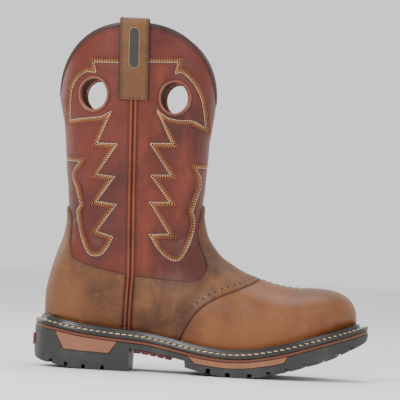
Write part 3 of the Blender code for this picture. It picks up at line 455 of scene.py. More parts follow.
def turns(count: int) -> np.ndarray:
    """Angles spaced evenly round a circle."""
    return np.linspace(0, 2 * math.pi, count, endpoint=False)


def rounded(angle: np.ndarray, power: float) -> tuple[np.ndarray, np.ndarray]:
    """Cosine and sine of angles, drawn out towards a square."""
    cos, sin = np.cos(angle), np.sin(angle)
    return np.sign(cos) * np.abs(cos) ** power, np.sign(sin) * np.abs(sin) ** power


def tangents(loop: np.ndarray) -> np.ndarray:
    """Directions along a closed line."""
    return unit(np.roll(loop, -1, axis=0) - np.roll(loop, 1, axis=0))


def grid_faces(rows: int, columns: int) -> list[tuple[int, ...]]:
    """Quads between the rows of a grid of points."""
    corners = (i * columns + j for i in range(rows - 1) for j in range(columns - 1))
    return [(a, a + 1, a + columns + 1, a + columns) for a in corners]


def plate_faces(rows: int, columns: int) -> list[tuple[int, ...]]:
    """Quads of a closed plate: its top grid, the grid under it and the sides."""
    count = rows * columns
    faces: list[tuple[int, ...]] = []
    for i in range(rows - 1):
        for j in range(columns - 1):
            a = i * columns + j
            faces.append((a, a + 1, a + columns + 1, a + columns))
            faces.append((a + count, a + columns + count, a + columns + 1 + count, a + 1 + count))
        for j in (0, columns - 1):
            a = i * columns + j
            faces.append((a, a + columns, a + columns + count, a + count))
    for i in (0, rows - 1):
        for j in range(columns - 1):
            a = i * columns + j
            faces.append((a, a + count, a + 1 + count, a + 1))
    return faces


def ring_faces(rows: int, sides: int) -> list[tuple[int, ...]]:
    """Quads of a tube that returns to its start."""
    faces = []
    for k in range(rows):
        base, after = k * sides, (k + 1) % rows * sides
        for s in range(sides):
            t = (s + 1) % sides
            faces.append((base + s, base + t, after + t, after + s))
    return faces


def sweep(
    path: np.ndarray, across: np.ndarray, up: np.ndarray, profile: np.ndarray
) -> tuple[np.ndarray, list[tuple[int, ...]]]:
    """Points and faces of a profile carried round a closed path.

    Args:
        path: points of the path.
        across: direction of the profile's first number at each point.
        up: direction of its second number.
        profile: the profile's points, going round.

    Returns:
        The points and the faces.
    """
    first, second = profile[None, :, :1], profile[None, :, 1:]
    points = path[:, None] + across[:, None] * first + up[:, None] * second
    return points.reshape(-1, 3), ring_faces(len(path), len(profile))


def plain_values(count: int) -> Field:
    """Values of points that lie far from every edge and groove."""
    return {"edge": np.full(count, FAR), "groove": np.zeros(count)}


def resample(line: np.ndarray, pitch: float) -> np.ndarray:
    """Points spaced evenly along a line, at about a pitch."""
    length = np.concatenate([[0], np.cumsum(np.linalg.norm(np.diff(line, axis=0), axis=1))])
    count = max(2, int(round(length[-1] / pitch)) + 1)
    at = np.linspace(0, length[-1], count)
    return np.stack([np.interp(at, length, line[:, k]) for k in range(line.shape[1])], axis=1)


def beside(line: np.ndarray, distance: float) -> np.ndarray:
    """A flat line moved to its left by a distance, with mitred corners."""
    along = unit(np.diff(line, axis=0))
    left = np.stack([-along[:, 1], along[:, 0]], axis=1)
    before = np.vstack([left[:1], left])
    after = np.vstack([left, left[-1:]])
    open_angle = np.maximum(0.3, 1 + (before * after).sum(axis=1))
    return line + (before + after) * distance / open_angle[:, None]


def from_line(line: np.ndarray, points: np.ndarray) -> tuple[np.ndarray, np.ndarray]:
    """Signed distance of flat points from a line, positive on its left.

    Args:
        line: the line's points.
        points: the points to measure.

    Returns:
        The distances, and the direction in which each grows.
    """
    best = np.full(len(points), np.inf)
    sign = np.ones(len(points))
    away = np.zeros((len(points), 2))
    for a, b in zip(line[:-1], line[1:]):
        span = b - a
        t = np.clip(((points - a) @ span) / (span @ span), 0, 1)
        gap = points - (a + t[:, None] * span)
        distance = np.linalg.norm(gap, axis=1)
        closer = distance < best - 1e-9
        best[closer] = distance[closer]
        turn = span[0] * gap[:, 1] - span[1] * gap[:, 0]
        sign[closer] = np.where(turn[closer] < 0, -1.0, 1.0)
        away[closer] = gap[closer]
    return best * sign, unit(away) * sign[:, None]


@dataclass
class Sheet:
    """Triangles of a surface, with a normal and named values at each point."""

    points: np.ndarray
    normals: np.ndarray
    tris: np.ndarray
    values: Field = field(default_factory=dict)

    def split(self, name: str, level: float) -> "Sheet":
        """Cuts the triangles along the line where a value has a level.

        Args:
            name: the value.
            level: its level.

        Returns:
            The sheet, with points on that line.
        """
        value = self.values[name].copy()
        value[np.abs(value - level) < 2e-5] = level
        side = np.sign(value - level)
        at_tris = side[self.tris]
        crossing = (at_tris.min(axis=1) < 0) & (at_tris.max(axis=1) > 0)
        made: dict[tuple[int, int], int] = {}
        parents: list[tuple[int, int, float]] = []
        tris = []
        for tri in self.tris[crossing].tolist():
            halves: tuple[list[int], list[int]] = ([], [])
            for p, q in zip(tri, tri[1:] + tri[:1]):
                if side[p] >= 0:
                    halves[0].append(p)
                if side[p] <= 0:
                    halves[1].append(p)
                if side[p] * side[q] < 0:
                    key = (min(p, q), max(p, q))
                    if key not in made:
                        share = (level - value[key[0]]) / (value[key[1]] - value[key[0]])
                        made[key] = len(self.points) + len(parents)
                        parents.append((key[0], key[1], share))
                    for half in halves:
                        half.append(made[key])
            for half in halves:
                tris += [(half[0], half[k], half[k + 1]) for k in range(1, len(half) - 1)]
        if not parents:
            return Sheet(self.points, self.normals, self.tris, {**self.values, name: value})
        a, b = (np.array([p[k] for p in parents]) for k in (0, 1))
        t = np.array([p[2] for p in parents])

        def grown(array: np.ndarray) -> np.ndarray:
            """The array with the new points' values after it."""
            share = t if array.ndim == 1 else t[:, None]
            return np.concatenate([array, array[a] * (1 - share) + array[b] * share])

        values = {key: grown(array) for key, array in {**self.values, name: value}.items()}
        values[name][len(self.points) :] = level
        return Sheet(
            grown(self.points),
            unit(grown(self.normals)),
            np.vstack([self.tris[~crossing], np.array(tris)]),
            values,
        )

    def keep(self, chosen: np.ndarray) -> "Sheet":
        """The sheet's triangles whose three points are all chosen, renumbered."""
        tris = self.tris[chosen[self.tris].all(axis=1)]
        used = np.unique(tris)
        number = np.full(len(self.points), -1)
        number[used] = np.arange(len(used))
        values = {key: array[used] for key, array in self.values.items()}
        return Sheet(self.points[used], self.normals[used], number[tris], values)

    def within(self, name: str, low: float = 0.0) -> "Sheet":
        """The part of the sheet where a value is no lower than a level."""
        sheet = self.split(name, low)
        return sheet.keep(sheet.values[name] >= low - 1e-9)

    def level_lines(self, name: str, level: float) -> list[np.ndarray]:
        """Chains of points along the line where a value has a level.

        Args:
            name: the value, already split there.
            level: its level.

        Returns:
            Index arrays, one for each chain.
        """
        on = np.abs(self.values[name] - level) < 1e-9
        links: dict[int, set[int]] = {}
        for tri in self.tris[on[self.tris].sum(axis=1) >= 2].tolist():
            for p, q in zip(tri, tri[1:] + tri[:1]):
                if on[p] and on[q]:
                    links.setdefault(p, set()).add(q)
                    links.setdefault(q, set()).add(p)
        chains = []
        ends = [p for p, near in links.items() if len(near) == 1]
        for start in ends + list(links):
            if start not in links:
                continue
            chain, here = [start], start
            while links.get(here):
                after = links[here].pop()
                links[after].discard(here)
                chain.append(after)
                here = after
            for p in chain:
                if p in links and not links[p]:
                    del links[p]
            if len(chain) > 3:
                chains.append(np.array(chain))
        return chains

    def rim(self) -> list[tuple[int, int]]:
        """Edges that belong to one triangle only."""
        edges = {}
        for tri in self.tris.tolist():
            for pair in zip(tri, tri[1:] + tri[:1]):
                edges[pair] = True
        return [pair for pair in edges if (pair[1], pair[0]) not in edges]


@dataclass
class Last:
    """The form inside the boot: its outlines, its seat and its leather surface."""

    length: float = 0.309
    ball_width: float = 0.110
    heel_width: float = 0.0775
    welt_side: float = 0.0088
    welt_toe: float = 0.0128
    welt_heel: float = 0.0098
    ball_height: float = 0.0165
    heel_height: float = 0.0298
    toe_spring: float = 0.032
    skirt: float = 0.0112
    instep_rise: float = 0.0965
    shaft_top: float = 0.3192
    collar_dip: float = 0.067
    collar_square: float = 2.3
    collar_soft: float = 0.09
    shaft_square: float = 2.1
    top_width: float = 0.107
    breast: float = 0.293
    arch_end: float = 0.462
    arch_depth: float = 0.49
    toe_start: float = 0.80
    toe_reach: float = 0.17
    back_start: float = 0.15
    back_reach: float = 0.12
    outline_steps: int = 24
    side_steps: int = 60
    foot_steps: int = 150
    shaft_steps: int = 62
    collar_steps: int = 26

    def __post_init__(self) -> None:
        """Builds the outlines, then the surface and its search tree."""
        self.sole, self.feather = self.build_outlines()
        self.sheet = self.build_sheet()
        self.tree = BVHTree.FromPolygons(self.sheet.points.tolist(), self.sheet.tris.tolist())

    def x_at(self, reach: float) -> float:
        """Distance along the sole from its middle, for a share of its length."""
        return (reach - 0.5) * self.length

    def seat(self, x: Union[float, np.ndarray]) -> np.ndarray:
        """Height of the seat, where welt and midsole meet."""
        reach = np.clip(np.asarray(x) / self.length + 0.5, 0.0, 1.0)
        places = [row.reach for row in SEAT]
        heel = smooth_table(places, [row.heel for row in SEAT], reach)
        spring = smooth_table(places, [row.spring for row in SEAT], reach)
        rise = self.heel_height - self.ball_height
        return self.ball_height + rise * heel + self.toe_spring * spring

    def tread(self, x: float) -> float:
        """Height of the tread under heel and forepart, and of the arch between."""
        reach = x / self.length + 0.5
        if reach <= self.breast:
            rows, full = HEEL_DEPTH, self.heel_height
        elif reach >= self.arch_end:
            rows, full = FORE_DEPTH, self.ball_height
        else:
            return float(self.seat(x)) - self.arch_depth * self.ball_height
        places, shares = [row.reach for row in rows], [row.share for row in rows]
        depth = full * float(smooth_table(places, shares, np.array(reach)))
        return max(0.0, float(self.seat(x)) - depth)

    def build_outlines(self) -> tuple[tuple[np.ndarray, np.ndarray], tuple[np.ndarray, np.ndarray]]:
        """The outsole's outline and the feather line, each as two sides, toe to heel."""
        widths = [r.ball_part * self.ball_width + (1 - r.ball_part) * self.heel_width for r in OUTLINE]
        outer = [(self.x_at(r.reach), -r.outer * w) for r, w in zip(OUTLINE, widths)]
        inner = [(self.x_at(r.reach), r.inner * w) for r, w in zip(OUTLINE, widths)]
        loop = spline(outer + inner[-2:0:-1], self.outline_steps, closed=True)
        heel = self.outline_steps * (len(OUTLINE) - 1)
        reach = loop[:, 0] / self.length + 0.5
        toe = np.clip((reach - self.toe_start) / self.toe_reach, 0, 1) ** 2
        back = np.clip((self.back_start - reach) / self.back_reach, 0, 1) ** 2
        width = self.welt_side + (self.welt_toe - self.welt_side) * toe
        width += (self.welt_heel - self.welt_side) * back
        along = tangents(loop)
        inside = loop + np.stack([along[:, 1], -along[:, 0]], axis=1) * width[:, None]

        def sides(line: np.ndarray) -> tuple[np.ndarray, np.ndarray]:
            """Lateral and medial halves of a loop."""
            return line[: heel + 1], np.vstack([line[:1], line[: heel - 1 : -1]])

        return sides(loop), sides(inside)

    def half(self, x: float, side: int, inset: float = 0.0) -> float:
        """Signed half width of the outsole at x."""
        line = self.sole[0 if side < 0 else 1]
        order = np.argsort(line[:, 0])
        return float(np.interp(x, line[order, 0], line[order, 1])) - side * inset

    def feather_at(self, share: float, side: int) -> np.ndarray:
        """Point of the feather line at a share of the way from toe to heel."""
        line = self.feather[0 if side < 0 else 1]
        length = np.concatenate([[0], np.cumsum(np.linalg.norm(np.diff(line, axis=0), axis=1))])
        return np.array([np.interp(share * length[-1], length, line[:, k]) for k in (0, 1)])

    def turn(self, peak: float, square: float, rounding: float) -> tuple[np.ndarray, np.ndarray]:
        """Shares down a foot row and out to its side, from ridge to edge."""
        angle = np.linspace(0, math.pi, self.side_steps + 1)
        high = np.clip(np.cos(angle), 0, 1)
        low = np.clip(-np.cos(angle), 0, 1)
        upper = angle <= math.pi / 2
        down = np.where(upper, peak * (1 - high ** (2 / square)), peak + (1 - peak) * low)
        out = np.where(
            upper,
            np.sin(angle).clip(0, 1) ** (2 / square),
            1 - np.maximum(0.0, 1 - low * low) ** rounding,
        )
        return down, out

    def foot_row(self, row: FootRow) -> np.ndarray:
        """Points of a foot section, from its lateral to its medial edge."""
        x = self.x_at(row.reach)
        ends = {side: self.feather_at(row.along, side) for side in (-1, 1)}
        middle = (ends[-1][1] + ends[1][1]) / 2
        half = (ends[1][1] - ends[-1][1]) / 2
        widest = max(row.ball * self.ball_width + row.heel * self.heel_width, half)
        ridge = np.array([x, middle, float(self.seat(x)) + row.rise * self.instep_rise])
        down, out = self.turn(row.peak, row.square, row.round)
        halves = {}
        for side in (-1, 1):
            end_x = ends[side][0]
            end = np.array([end_x, middle, float(self.seat(end_x)) + self.skirt])
            points = ridge + (end - ridge) * down[:, None]
            turned = np.arange(self.side_steps + 1) > self.side_steps / 2
            points[:, 1] += side * np.where(turned, widest + (half - widest) * out, widest * out)
            halves[side] = points
        return np.vstack([halves[-1][::-1], halves[1][1:]])

    def ring_shape(self) -> tuple[np.ndarray, np.ndarray]:
        """Fore-and-aft share and side share of a closed row."""
        angle = np.linspace(-math.pi, math.pi, 2 * self.side_steps + 1)
        fore, side = rounded(angle, 2 / self.shaft_square)
        side[[0, self.side_steps, -1]] = 0.0
        return fore, side

    def shaft_row(self, row: ShaftRow) -> np.ndarray:
        """Points of a level section of the shaft."""
        fore, side = self.ring_shape()
        front = np.array([self.x_at(row.front_reach), 0.0, row.front_z * self.shaft_top])
        back = np.array([self.x_at(row.back_reach), 0.0, row.back_z * self.shaft_top])
        points = (front + back) / 2 + np.outer(fore, (front - back) / 2)
        points[:, 1] += side * row.half * self.top_width
        return points

    def collar_row(self, share: float) -> np.ndarray:
        """A row between the last level one and the scalloped edge."""
        last = SHAFT_ROWS[-1]
        fore, _ = self.ring_shape()
        low = last.front_z * self.shaft_top
        swell = np.maximum(0.0, 1 - np.abs(fore) ** self.collar_square) ** (1 / self.collar_square)
        swell = np.hypot(swell, self.collar_soft) - self.collar_soft * (1 - swell)
        swell /= math.hypot(1, self.collar_soft)
        top = self.shaft_top - self.collar_dip * (1 - swell)
        points = self.shaft_row(last)
        points[:, 2] = low + share * (top - low)
        flare = np.clip((points[:, 2] - low) / (self.shaft_top - low), 0, 1)
        points[:, 1] *= 1 + (0.5 / last.half - 1) * flare
        return points

    @staticmethod
    def sampled(rows: Sequence[tuple], count: int) -> list[tuple]:
        """A table's rows, resampled evenly and smoothly."""
        at = np.linspace(0, len(rows) - 1, count)
        steps = np.arange(len(rows))
        columns = [smooth_table(steps, column, at) for column in zip(*rows)]
        return [type(rows[0])(*map(float, row)) for row in zip(*columns)]

    def build_sheet(self) -> Sheet:
        """The leather's outer surface, down to a rim that reaches the seat."""
        rows = [self.foot_row(row) for row in self.sampled(FOOT_ROWS, self.foot_steps)]
        rows += [self.shaft_row(row) for row in self.sampled(SHAFT_ROWS, self.shaft_steps)]
        rows += [self.collar_row((k + 1) / self.collar_steps) for k in range(self.collar_steps)]
        grid = np.array(rows)
        skirt = np.vstack([grid[: self.foot_steps, 0], grid[: self.foot_steps, -1]])
        count, columns = grid.shape[:2]
        points = grid.reshape(-1, 3)
        quads = grid_faces(count, columns)
        low = skirt.copy()
        low[:, 2] = self.seat(low[:, 0]) + SOLE_GAP
        base = len(points)
        half = self.foot_steps
        edge = [(i * columns, i * columns + columns - 1) for i in range(half)]
        for i in range(half - 1):
            quads.append((base + i, edge[i][0], edge[i + 1][0], base + i + 1))
            quads.append((edge[i][1], base + half + i, base + half + i + 1, edge[i + 1][1]))
        start = half * columns
        quads.append((base + half - 1, edge[-1][0], start, start))
        quads.append((edge[-1][1], base + 2 * half - 1, start, start))
        heel = points[start] * np.array([1.0, 1.0, 0.0])
        heel[2] = float(self.seat(heel[0])) + SOLE_GAP
        quads.append((base + half - 1, start, base + 2 * half, base + 2 * half))
        quads.append((start, base + 2 * half - 1, base + 2 * half, base + 2 * half))
        points = np.vstack([points, low, heel[None]])
        return self.welded(points, quads)

    @staticmethod
    def welded(points: np.ndarray, quads: list[tuple[int, ...]]) -> Sheet:
        """A sheet from quads, with doubled points merged and faces turned outwards."""
        _, first, number = np.unique(
            np.round(points, 7), axis=0, return_index=True, return_inverse=True
        )
        points = points[first]
        number = number.reshape(-1)
        mesh = bmesh.new()
        verts = [mesh.verts.new(p) for p in points.tolist()]
        for quad in quads:
            corners = list(dict.fromkeys(number[list(quad)].tolist()))
            if len(corners) > 2 and not mesh.faces.get([verts[k] for k in corners]):
                mesh.faces.new([verts[k] for k in corners])
        bmesh.ops.recalc_face_normals(mesh, faces=mesh.faces[:])
        bmesh.ops.triangulate(mesh, faces=mesh.faces[:])
        mesh.verts.index_update()
        tris = np.array([[v.index for v in face.verts] for face in mesh.faces])
        mesh.free()
        a, b, c = (points[tris[:, k]] for k in range(3))
        normal = np.cross(b - a, c - a)
        if (normal[:, 1] * (a + b + c)[:, 1]).sum() < 0:
            tris, normal = tris[:, ::-1], -normal
        normals = np.zeros_like(points)
        for k in range(3):
            np.add.at(normals, tris[:, k], normal)
        return Sheet(points, unit(normals), tris)

    def cast(self, x: float, z: float, side: int, depth: float = 0.0) -> Optional[tuple]:
        """Point and normal of the surface seen from a side, or nothing past its edge."""
        hit, _, index, _ = self.tree.ray_cast(Vector((x, side * 0.2, z)), Vector((0, -side, 0)))
        if hit is None or hit.y * side < 0:
            return None
        tri = self.sheet.tris[index]
        a, b, c = self.sheet.points[tri]
        p = np.array(hit)
        weights = np.array(
            [np.linalg.norm(np.cross(u - p, v - p)) for u, v in ((b, c), (c, a), (a, b))]
        )
        normal = unit((self.sheet.normals[tri] * (weights / weights.sum())[:, None]).sum(axis=0))
        return p + normal * depth, normal

    def nearest_normal(self, point: Sequence[float]) -> np.ndarray:
        """Normal of the surface nearest a point."""
        _, _, index, _ = self.tree.find_nearest(Vector(point))
        return unit(self.sheet.normals[self.sheet.tris[index]].mean(axis=0))

    def edge_line(self, edges: Sequence[Edge], steps: int = 10) -> np.ndarray:
        """A side view edge, smoothed, as x and z in metres."""
        return spline([(self.x_at(e.reach), e.height * self.shaft_top) for e in edges], steps)

    def seam_x(self, z: Union[float, np.ndarray]) -> np.ndarray:
        """Middle of the side seam at a height."""
        heights = [edge.height * self.shaft_top for edge in SEAM_LINE]
        return np.interp(z, heights, [self.x_at(edge.reach) for edge in SEAM_LINE])


LAST = Last()


class Term:
    """A shader socket that Python's operators can work on."""

    def __init__(self, shader: "Shader", socket: bpy.types.NodeSocket) -> None:
        """Keeps the shader and the socket."""
        self.shader = shader
        self.socket = socket

    def maths(self, operation: str, other: object, clamp: bool = False) -> "Term":
        """A Math node on this term and another value."""
        settings = {"operation": operation, "use_clamp": clamp}
        return self.shader.node("ShaderNodeMath", settings, {0: self, 1: other})

    def __add__(self, other: object) -> "Term":
        """Sum."""
        return self.maths("ADD", other)

    __radd__ = __add__

    def __mul__(self, other: object) -> "Term":
        """Product."""
        return self.maths("MULTIPLY", other)

    __rmul__ = __mul__

    def __sub__(self, other: object) -> "Term":
        """Difference."""
        return self.maths("SUBTRACT", other)

    def __rsub__(self, other: object) -> "Term":
        """Difference, the other way round."""
        settings = {"operation": "SUBTRACT"}
        return self.shader.node("ShaderNodeMath", settings, {0: other, 1: self})

    def clamped(self) -> "Term":
        """The value held between 0 and 1."""
        return self.maths("ADD", 0.0, clamp=True)

    def between(self, low: float, high: float) -> "Term":
        """Smooth step from one value to another."""
        settings = {"interpolation_type": "SMOOTHSTEP"}
        values = {"Value": self, "From Min": low, "From Max": high}
        return self.shader.node("ShaderNodeMapRange", settings, values)


class Shader:
    """A material's node tree, built from expressions."""

    def __init__(self, name: str) -> None:
        """Starts a material with a bare Principled shader."""
        self.material = bpy.data.materials.new(name)
        self.material.use_nodes = True
        self.tree = self.material.node_tree
        self.surface = self.tree.nodes["Principled BSDF"]
        self.place = self.node("ShaderNodeTexCoord", {}, {}, "Object")

    def node(self, kind: str, settings: dict, values: dict, output: Union[int, str] = 0) -> Term:
        """Adds a node.

        Args:
            kind: the node's type.
            settings: its properties.
            values: its inputs, by name or place, as numbers, colours or terms.
            output: the output to use.

        Returns:
            A term on that output.
        """
        made = self.tree.nodes.new(kind)
        for key, value in settings.items():
            setattr(made, key, value)
        for key, value in values.items():
            self.feed(made.inputs[key], value)
        return Term(self, made.outputs[output])

    def feed(self, socket: bpy.types.NodeSocket, value: object) -> None:
        """Links a term to a socket, or sets the socket's value."""
        if isinstance(value, Term):
            self.tree.links.new(value.socket, socket)
        elif isinstance(value, tuple) and socket.type == "RGBA":
            socket.default_value = (*value[:3], 1.0)
        else:
            socket.default_value = value

    def mix(self, share: object, first: object, second: object) -> Term:
        """Colour between two colours."""
        values = {0: share, 6: first, 7: second}
        return self.node("ShaderNodeMix", {"data_type": "RGBA"}, values, 2)

    def noise(
        self, scale: float, detail: float, rough: float, stretch: Optional[tuple] = None
    ) -> Term:
        """Noise over the object's own coordinates.

        Args:
            scale: cells in a metre.
            detail: octaves.
            rough: strength of the fine octaves.
            stretch: scale along x, y and z.

        Returns:
            The noise, about 0.5.
        """
        place = self.place
        if stretch is not None:
            place = self.node("ShaderNodeMapping", {}, {"Vector": place, "Scale": stretch})
        values = {"Vector": place, "Scale": scale, "Detail": detail, "Roughness": rough}
        return self.node("ShaderNodeTexNoise", {}, values, 0)

    def cells(self, scale: float, feature: str = "DISTANCE_TO_EDGE") -> Term:
        """Distance inside the cells of a pebble pattern."""
        values = {"Vector": self.place, "Scale": scale}
        return self.node("ShaderNodeTexVoronoi", {"feature": feature}, values, "Distance")

    def attribute(self, name: str) -> Term:
        """A value stored on the mesh's points."""
        return self.node("ShaderNodeAttribute", {"attribute_name": name}, {}, "Fac")

    def bump(self, height: Term, distance: float, strength: float) -> Term:
        """A normal bent by a height map."""
        values = {"Height": height, "Distance": distance, "Strength": strength}
        return self.node("ShaderNodeBump", {}, values)

    def finish(self, **values: object) -> bpy.types.Material:
        """Feeds the Principled shader's sockets, with spaces for underscores."""
        for key, value in values.items():
            self.feed(self.surface.inputs[key.replace("_", " ")], value)
        return self.material


@dataclass(frozen=True)
class Leather:
    """Oiled leather, lighter where rubbed, with painted highlight in upright bands."""

    name: str
    deep: Colour
    body: Colour
    lift: Colour
    worn: float = 0.35
    rough: float = 0.42
    coat: float = 0.12
    grain: float = 1.0
    highlight_streak: float = 0.3
    burnish_and_shade: float = 0.6
    shine: float = 0.32
    edge_reach: float = 0.0035

    def material(self) -> bpy.types.Material:
        """Mottled colour, wear and painted highlight, painted shade in grooves and piping, pebbled grain,
        fine wrinkles and burnished edges.
        """
        shader = Shader(self.name)
        shader.surface.inputs["Specular IOR Level"].default_value = self.shine
        cloud = shader.noise(13.0, 5.0, 0.58)
        # Upright bands of a lighter copy of the leather: painted highlight.
        highlight_noise = shader.noise(30.0, 4.0, 0.6, (1.0, 1.0, 0.35))
        speck = shader.noise(420.0, 3.0, 0.6)
        scuff = shader.noise(75.0, 6.0, 0.68, (1.0, 1.0, 2.6))
        colour = shader.mix(cloud.between(0.36, 0.62), self.deep, self.body)
        highlight_streaks = highlight_noise.between(0.48, 0.72) * self.highlight_streak
        # Lighter where the painted highlight bands fall, and where scuffs show wear.
        raised = (highlight_streaks + scuff.between(0.54, 0.74) * self.worn).clamped()
        colour = shader.mix(raised, colour, self.lift)
        colour = shader.mix(speck.between(0.35, 0.75) * 0.30, colour, self.deep)
        edge = shader.attribute("edge")
        # Darker near edges: burnished edges on overlays and straps, painted shade in the piping's groove
        # and along its sides.
        rim = (1.0 - edge.between(0.0, self.edge_reach)) * self.burnish_and_shade
        colour = shader.mix(rim, colour, tuple(0.35 * c for c in self.deep))
        # Darker along the fancy stitching's sunk groove: painted shade.
        groove = shader.attribute("groove")
        colour = shader.mix(groove * 0.55, colour, tuple(0.4 * c for c in self.deep))
        pebbles = shader.cells(620.0).between(0.0, 0.35)
        wrinkle = shader.noise(190.0, 4.0, 0.6, (1.0, 1.0, 0.6))
        pores = shader.noise(1500.0, 2.0, 0.5)
        relief = pebbles * (0.32 * self.grain) + wrinkle * (0.55 * self.grain) + pores * 0.18
        rough = self.rough + (cloud - 0.5) * 0.22 + raised * 0.16 + (speck - 0.5) * 0.10
        return shader.finish(
            Base_Color=colour,
            Roughness=rough.clamped(),
            Coat_Weight=self.coat,
            Coat_Roughness=0.32,
            Normal=shader.bump(relief, 0.00035, 0.55),
        )


@dataclass(frozen=True)
class Rubber:
    """Moulded rubber with a fine matt skin and a little dust."""

    name: str
    body: Colour
    dust: Colour
    rough: float = 0.5
    dusting: float = 0.25
    brushed: float = 0.0

    def material(self) -> bpy.types.Material:
        """Slightly uneven skin, brushed along the sole where it is trimmed."""
        shader = Shader(self.name)
        cloud = shader.noise(42.0, 5.0, 0.62)
        fine = shader.noise(700.0, 3.0, 0.6)
        brush = shader.noise(260.0, 4.0, 0.6, (0.12, 0.3, 2.4))
        share = (cloud.between(0.46, 0.74) * self.dusting + (brush - 0.5) * self.brushed).clamped()
        colour = shader.mix(share, self.body, self.dust)
        relief = fine * 0.5 + brush * (0.3 + 2.0 * self.brushed)
        rough = self.rough + (cloud - 0.5) * 0.2 + (fine - 0.5) * 0.12
        return shader.finish(
            Base_Color=colour,
            Roughness=rough.clamped(),
            Normal=shader.bump(relief, 0.0002, 0.5),
        )


@dataclass(frozen=True)
class Thread:
    """Waxed sewing thread."""

    name: str
    body: Colour
    shade: Colour
    rough: float = 0.55

    def material(self) -> bpy.types.Material:
        """Thread whose twist shows as fine slanting ridges."""
        shader = Shader(self.name)
        twist = shader.noise(1400.0, 2.0, 0.5)
        tone = shader.noise(60.0, 3.0, 0.5)
        colour = shader.mix(tone.between(0.4, 0.65), self.shade, self.body)
        return shader.finish(
            Base_Color=colour,
            Roughness=self.rough,
            Normal=shader.bump(twist, 0.0002, 0.6),
        )


@dataclass(frozen=True)
class Lining:
    """Soft lining leather and footbed cover, brushed and matt."""

    name: str
    body: Colour
    shade: Colour
    weave: float = 900.0

    def material(self) -> bpy.types.Material:
        """Napped surface with a fine even texture."""
        shader = Shader(self.name)
        cloud = shader.noise(22.0, 4.0, 0.6)
        nap = shader.noise(self.weave, 3.0, 0.7)
        colour = shader.mix(cloud.between(0.35, 0.65), self.shade, self.body)
        colour = shader.mix(nap.between(0.4, 0.7) * 0.3, colour, self.shade)
        return shader.finish(
            Base_Color=colour,
            Roughness=0.85,
            Normal=shader.bump(nap, 0.0004, 0.6),
        )


@dataclass(frozen=True)
class Plain:
    """A small plain moulded piece."""

    name: str
    body: Colour
    rough: float = 0.4
    stipple: float = 0.0
    coat: float = 0.0

    def material(self) -> bpy.types.Material:
        """Even colour with a fine stippled or smooth skin."""
        shader = Shader(self.name)
        tone = shader.noise(120.0, 3.0, 0.55)
        dots = shader.cells(1050.0, "F1").between(0.1, 0.6)
        shade = tuple(0.55 * c for c in self.body)
        colour = shader.mix(tone.between(0.3, 0.7) * 0.5, self.body, shade)
        relief = tone * 0.3 + dots * self.stipple
        return shader.finish(
            Base_Color=colour,
            Roughness=self.rough,
            Coat_Weight=self.coat,
            Normal=shader.bump(relief, 0.00035, 0.6),
        )


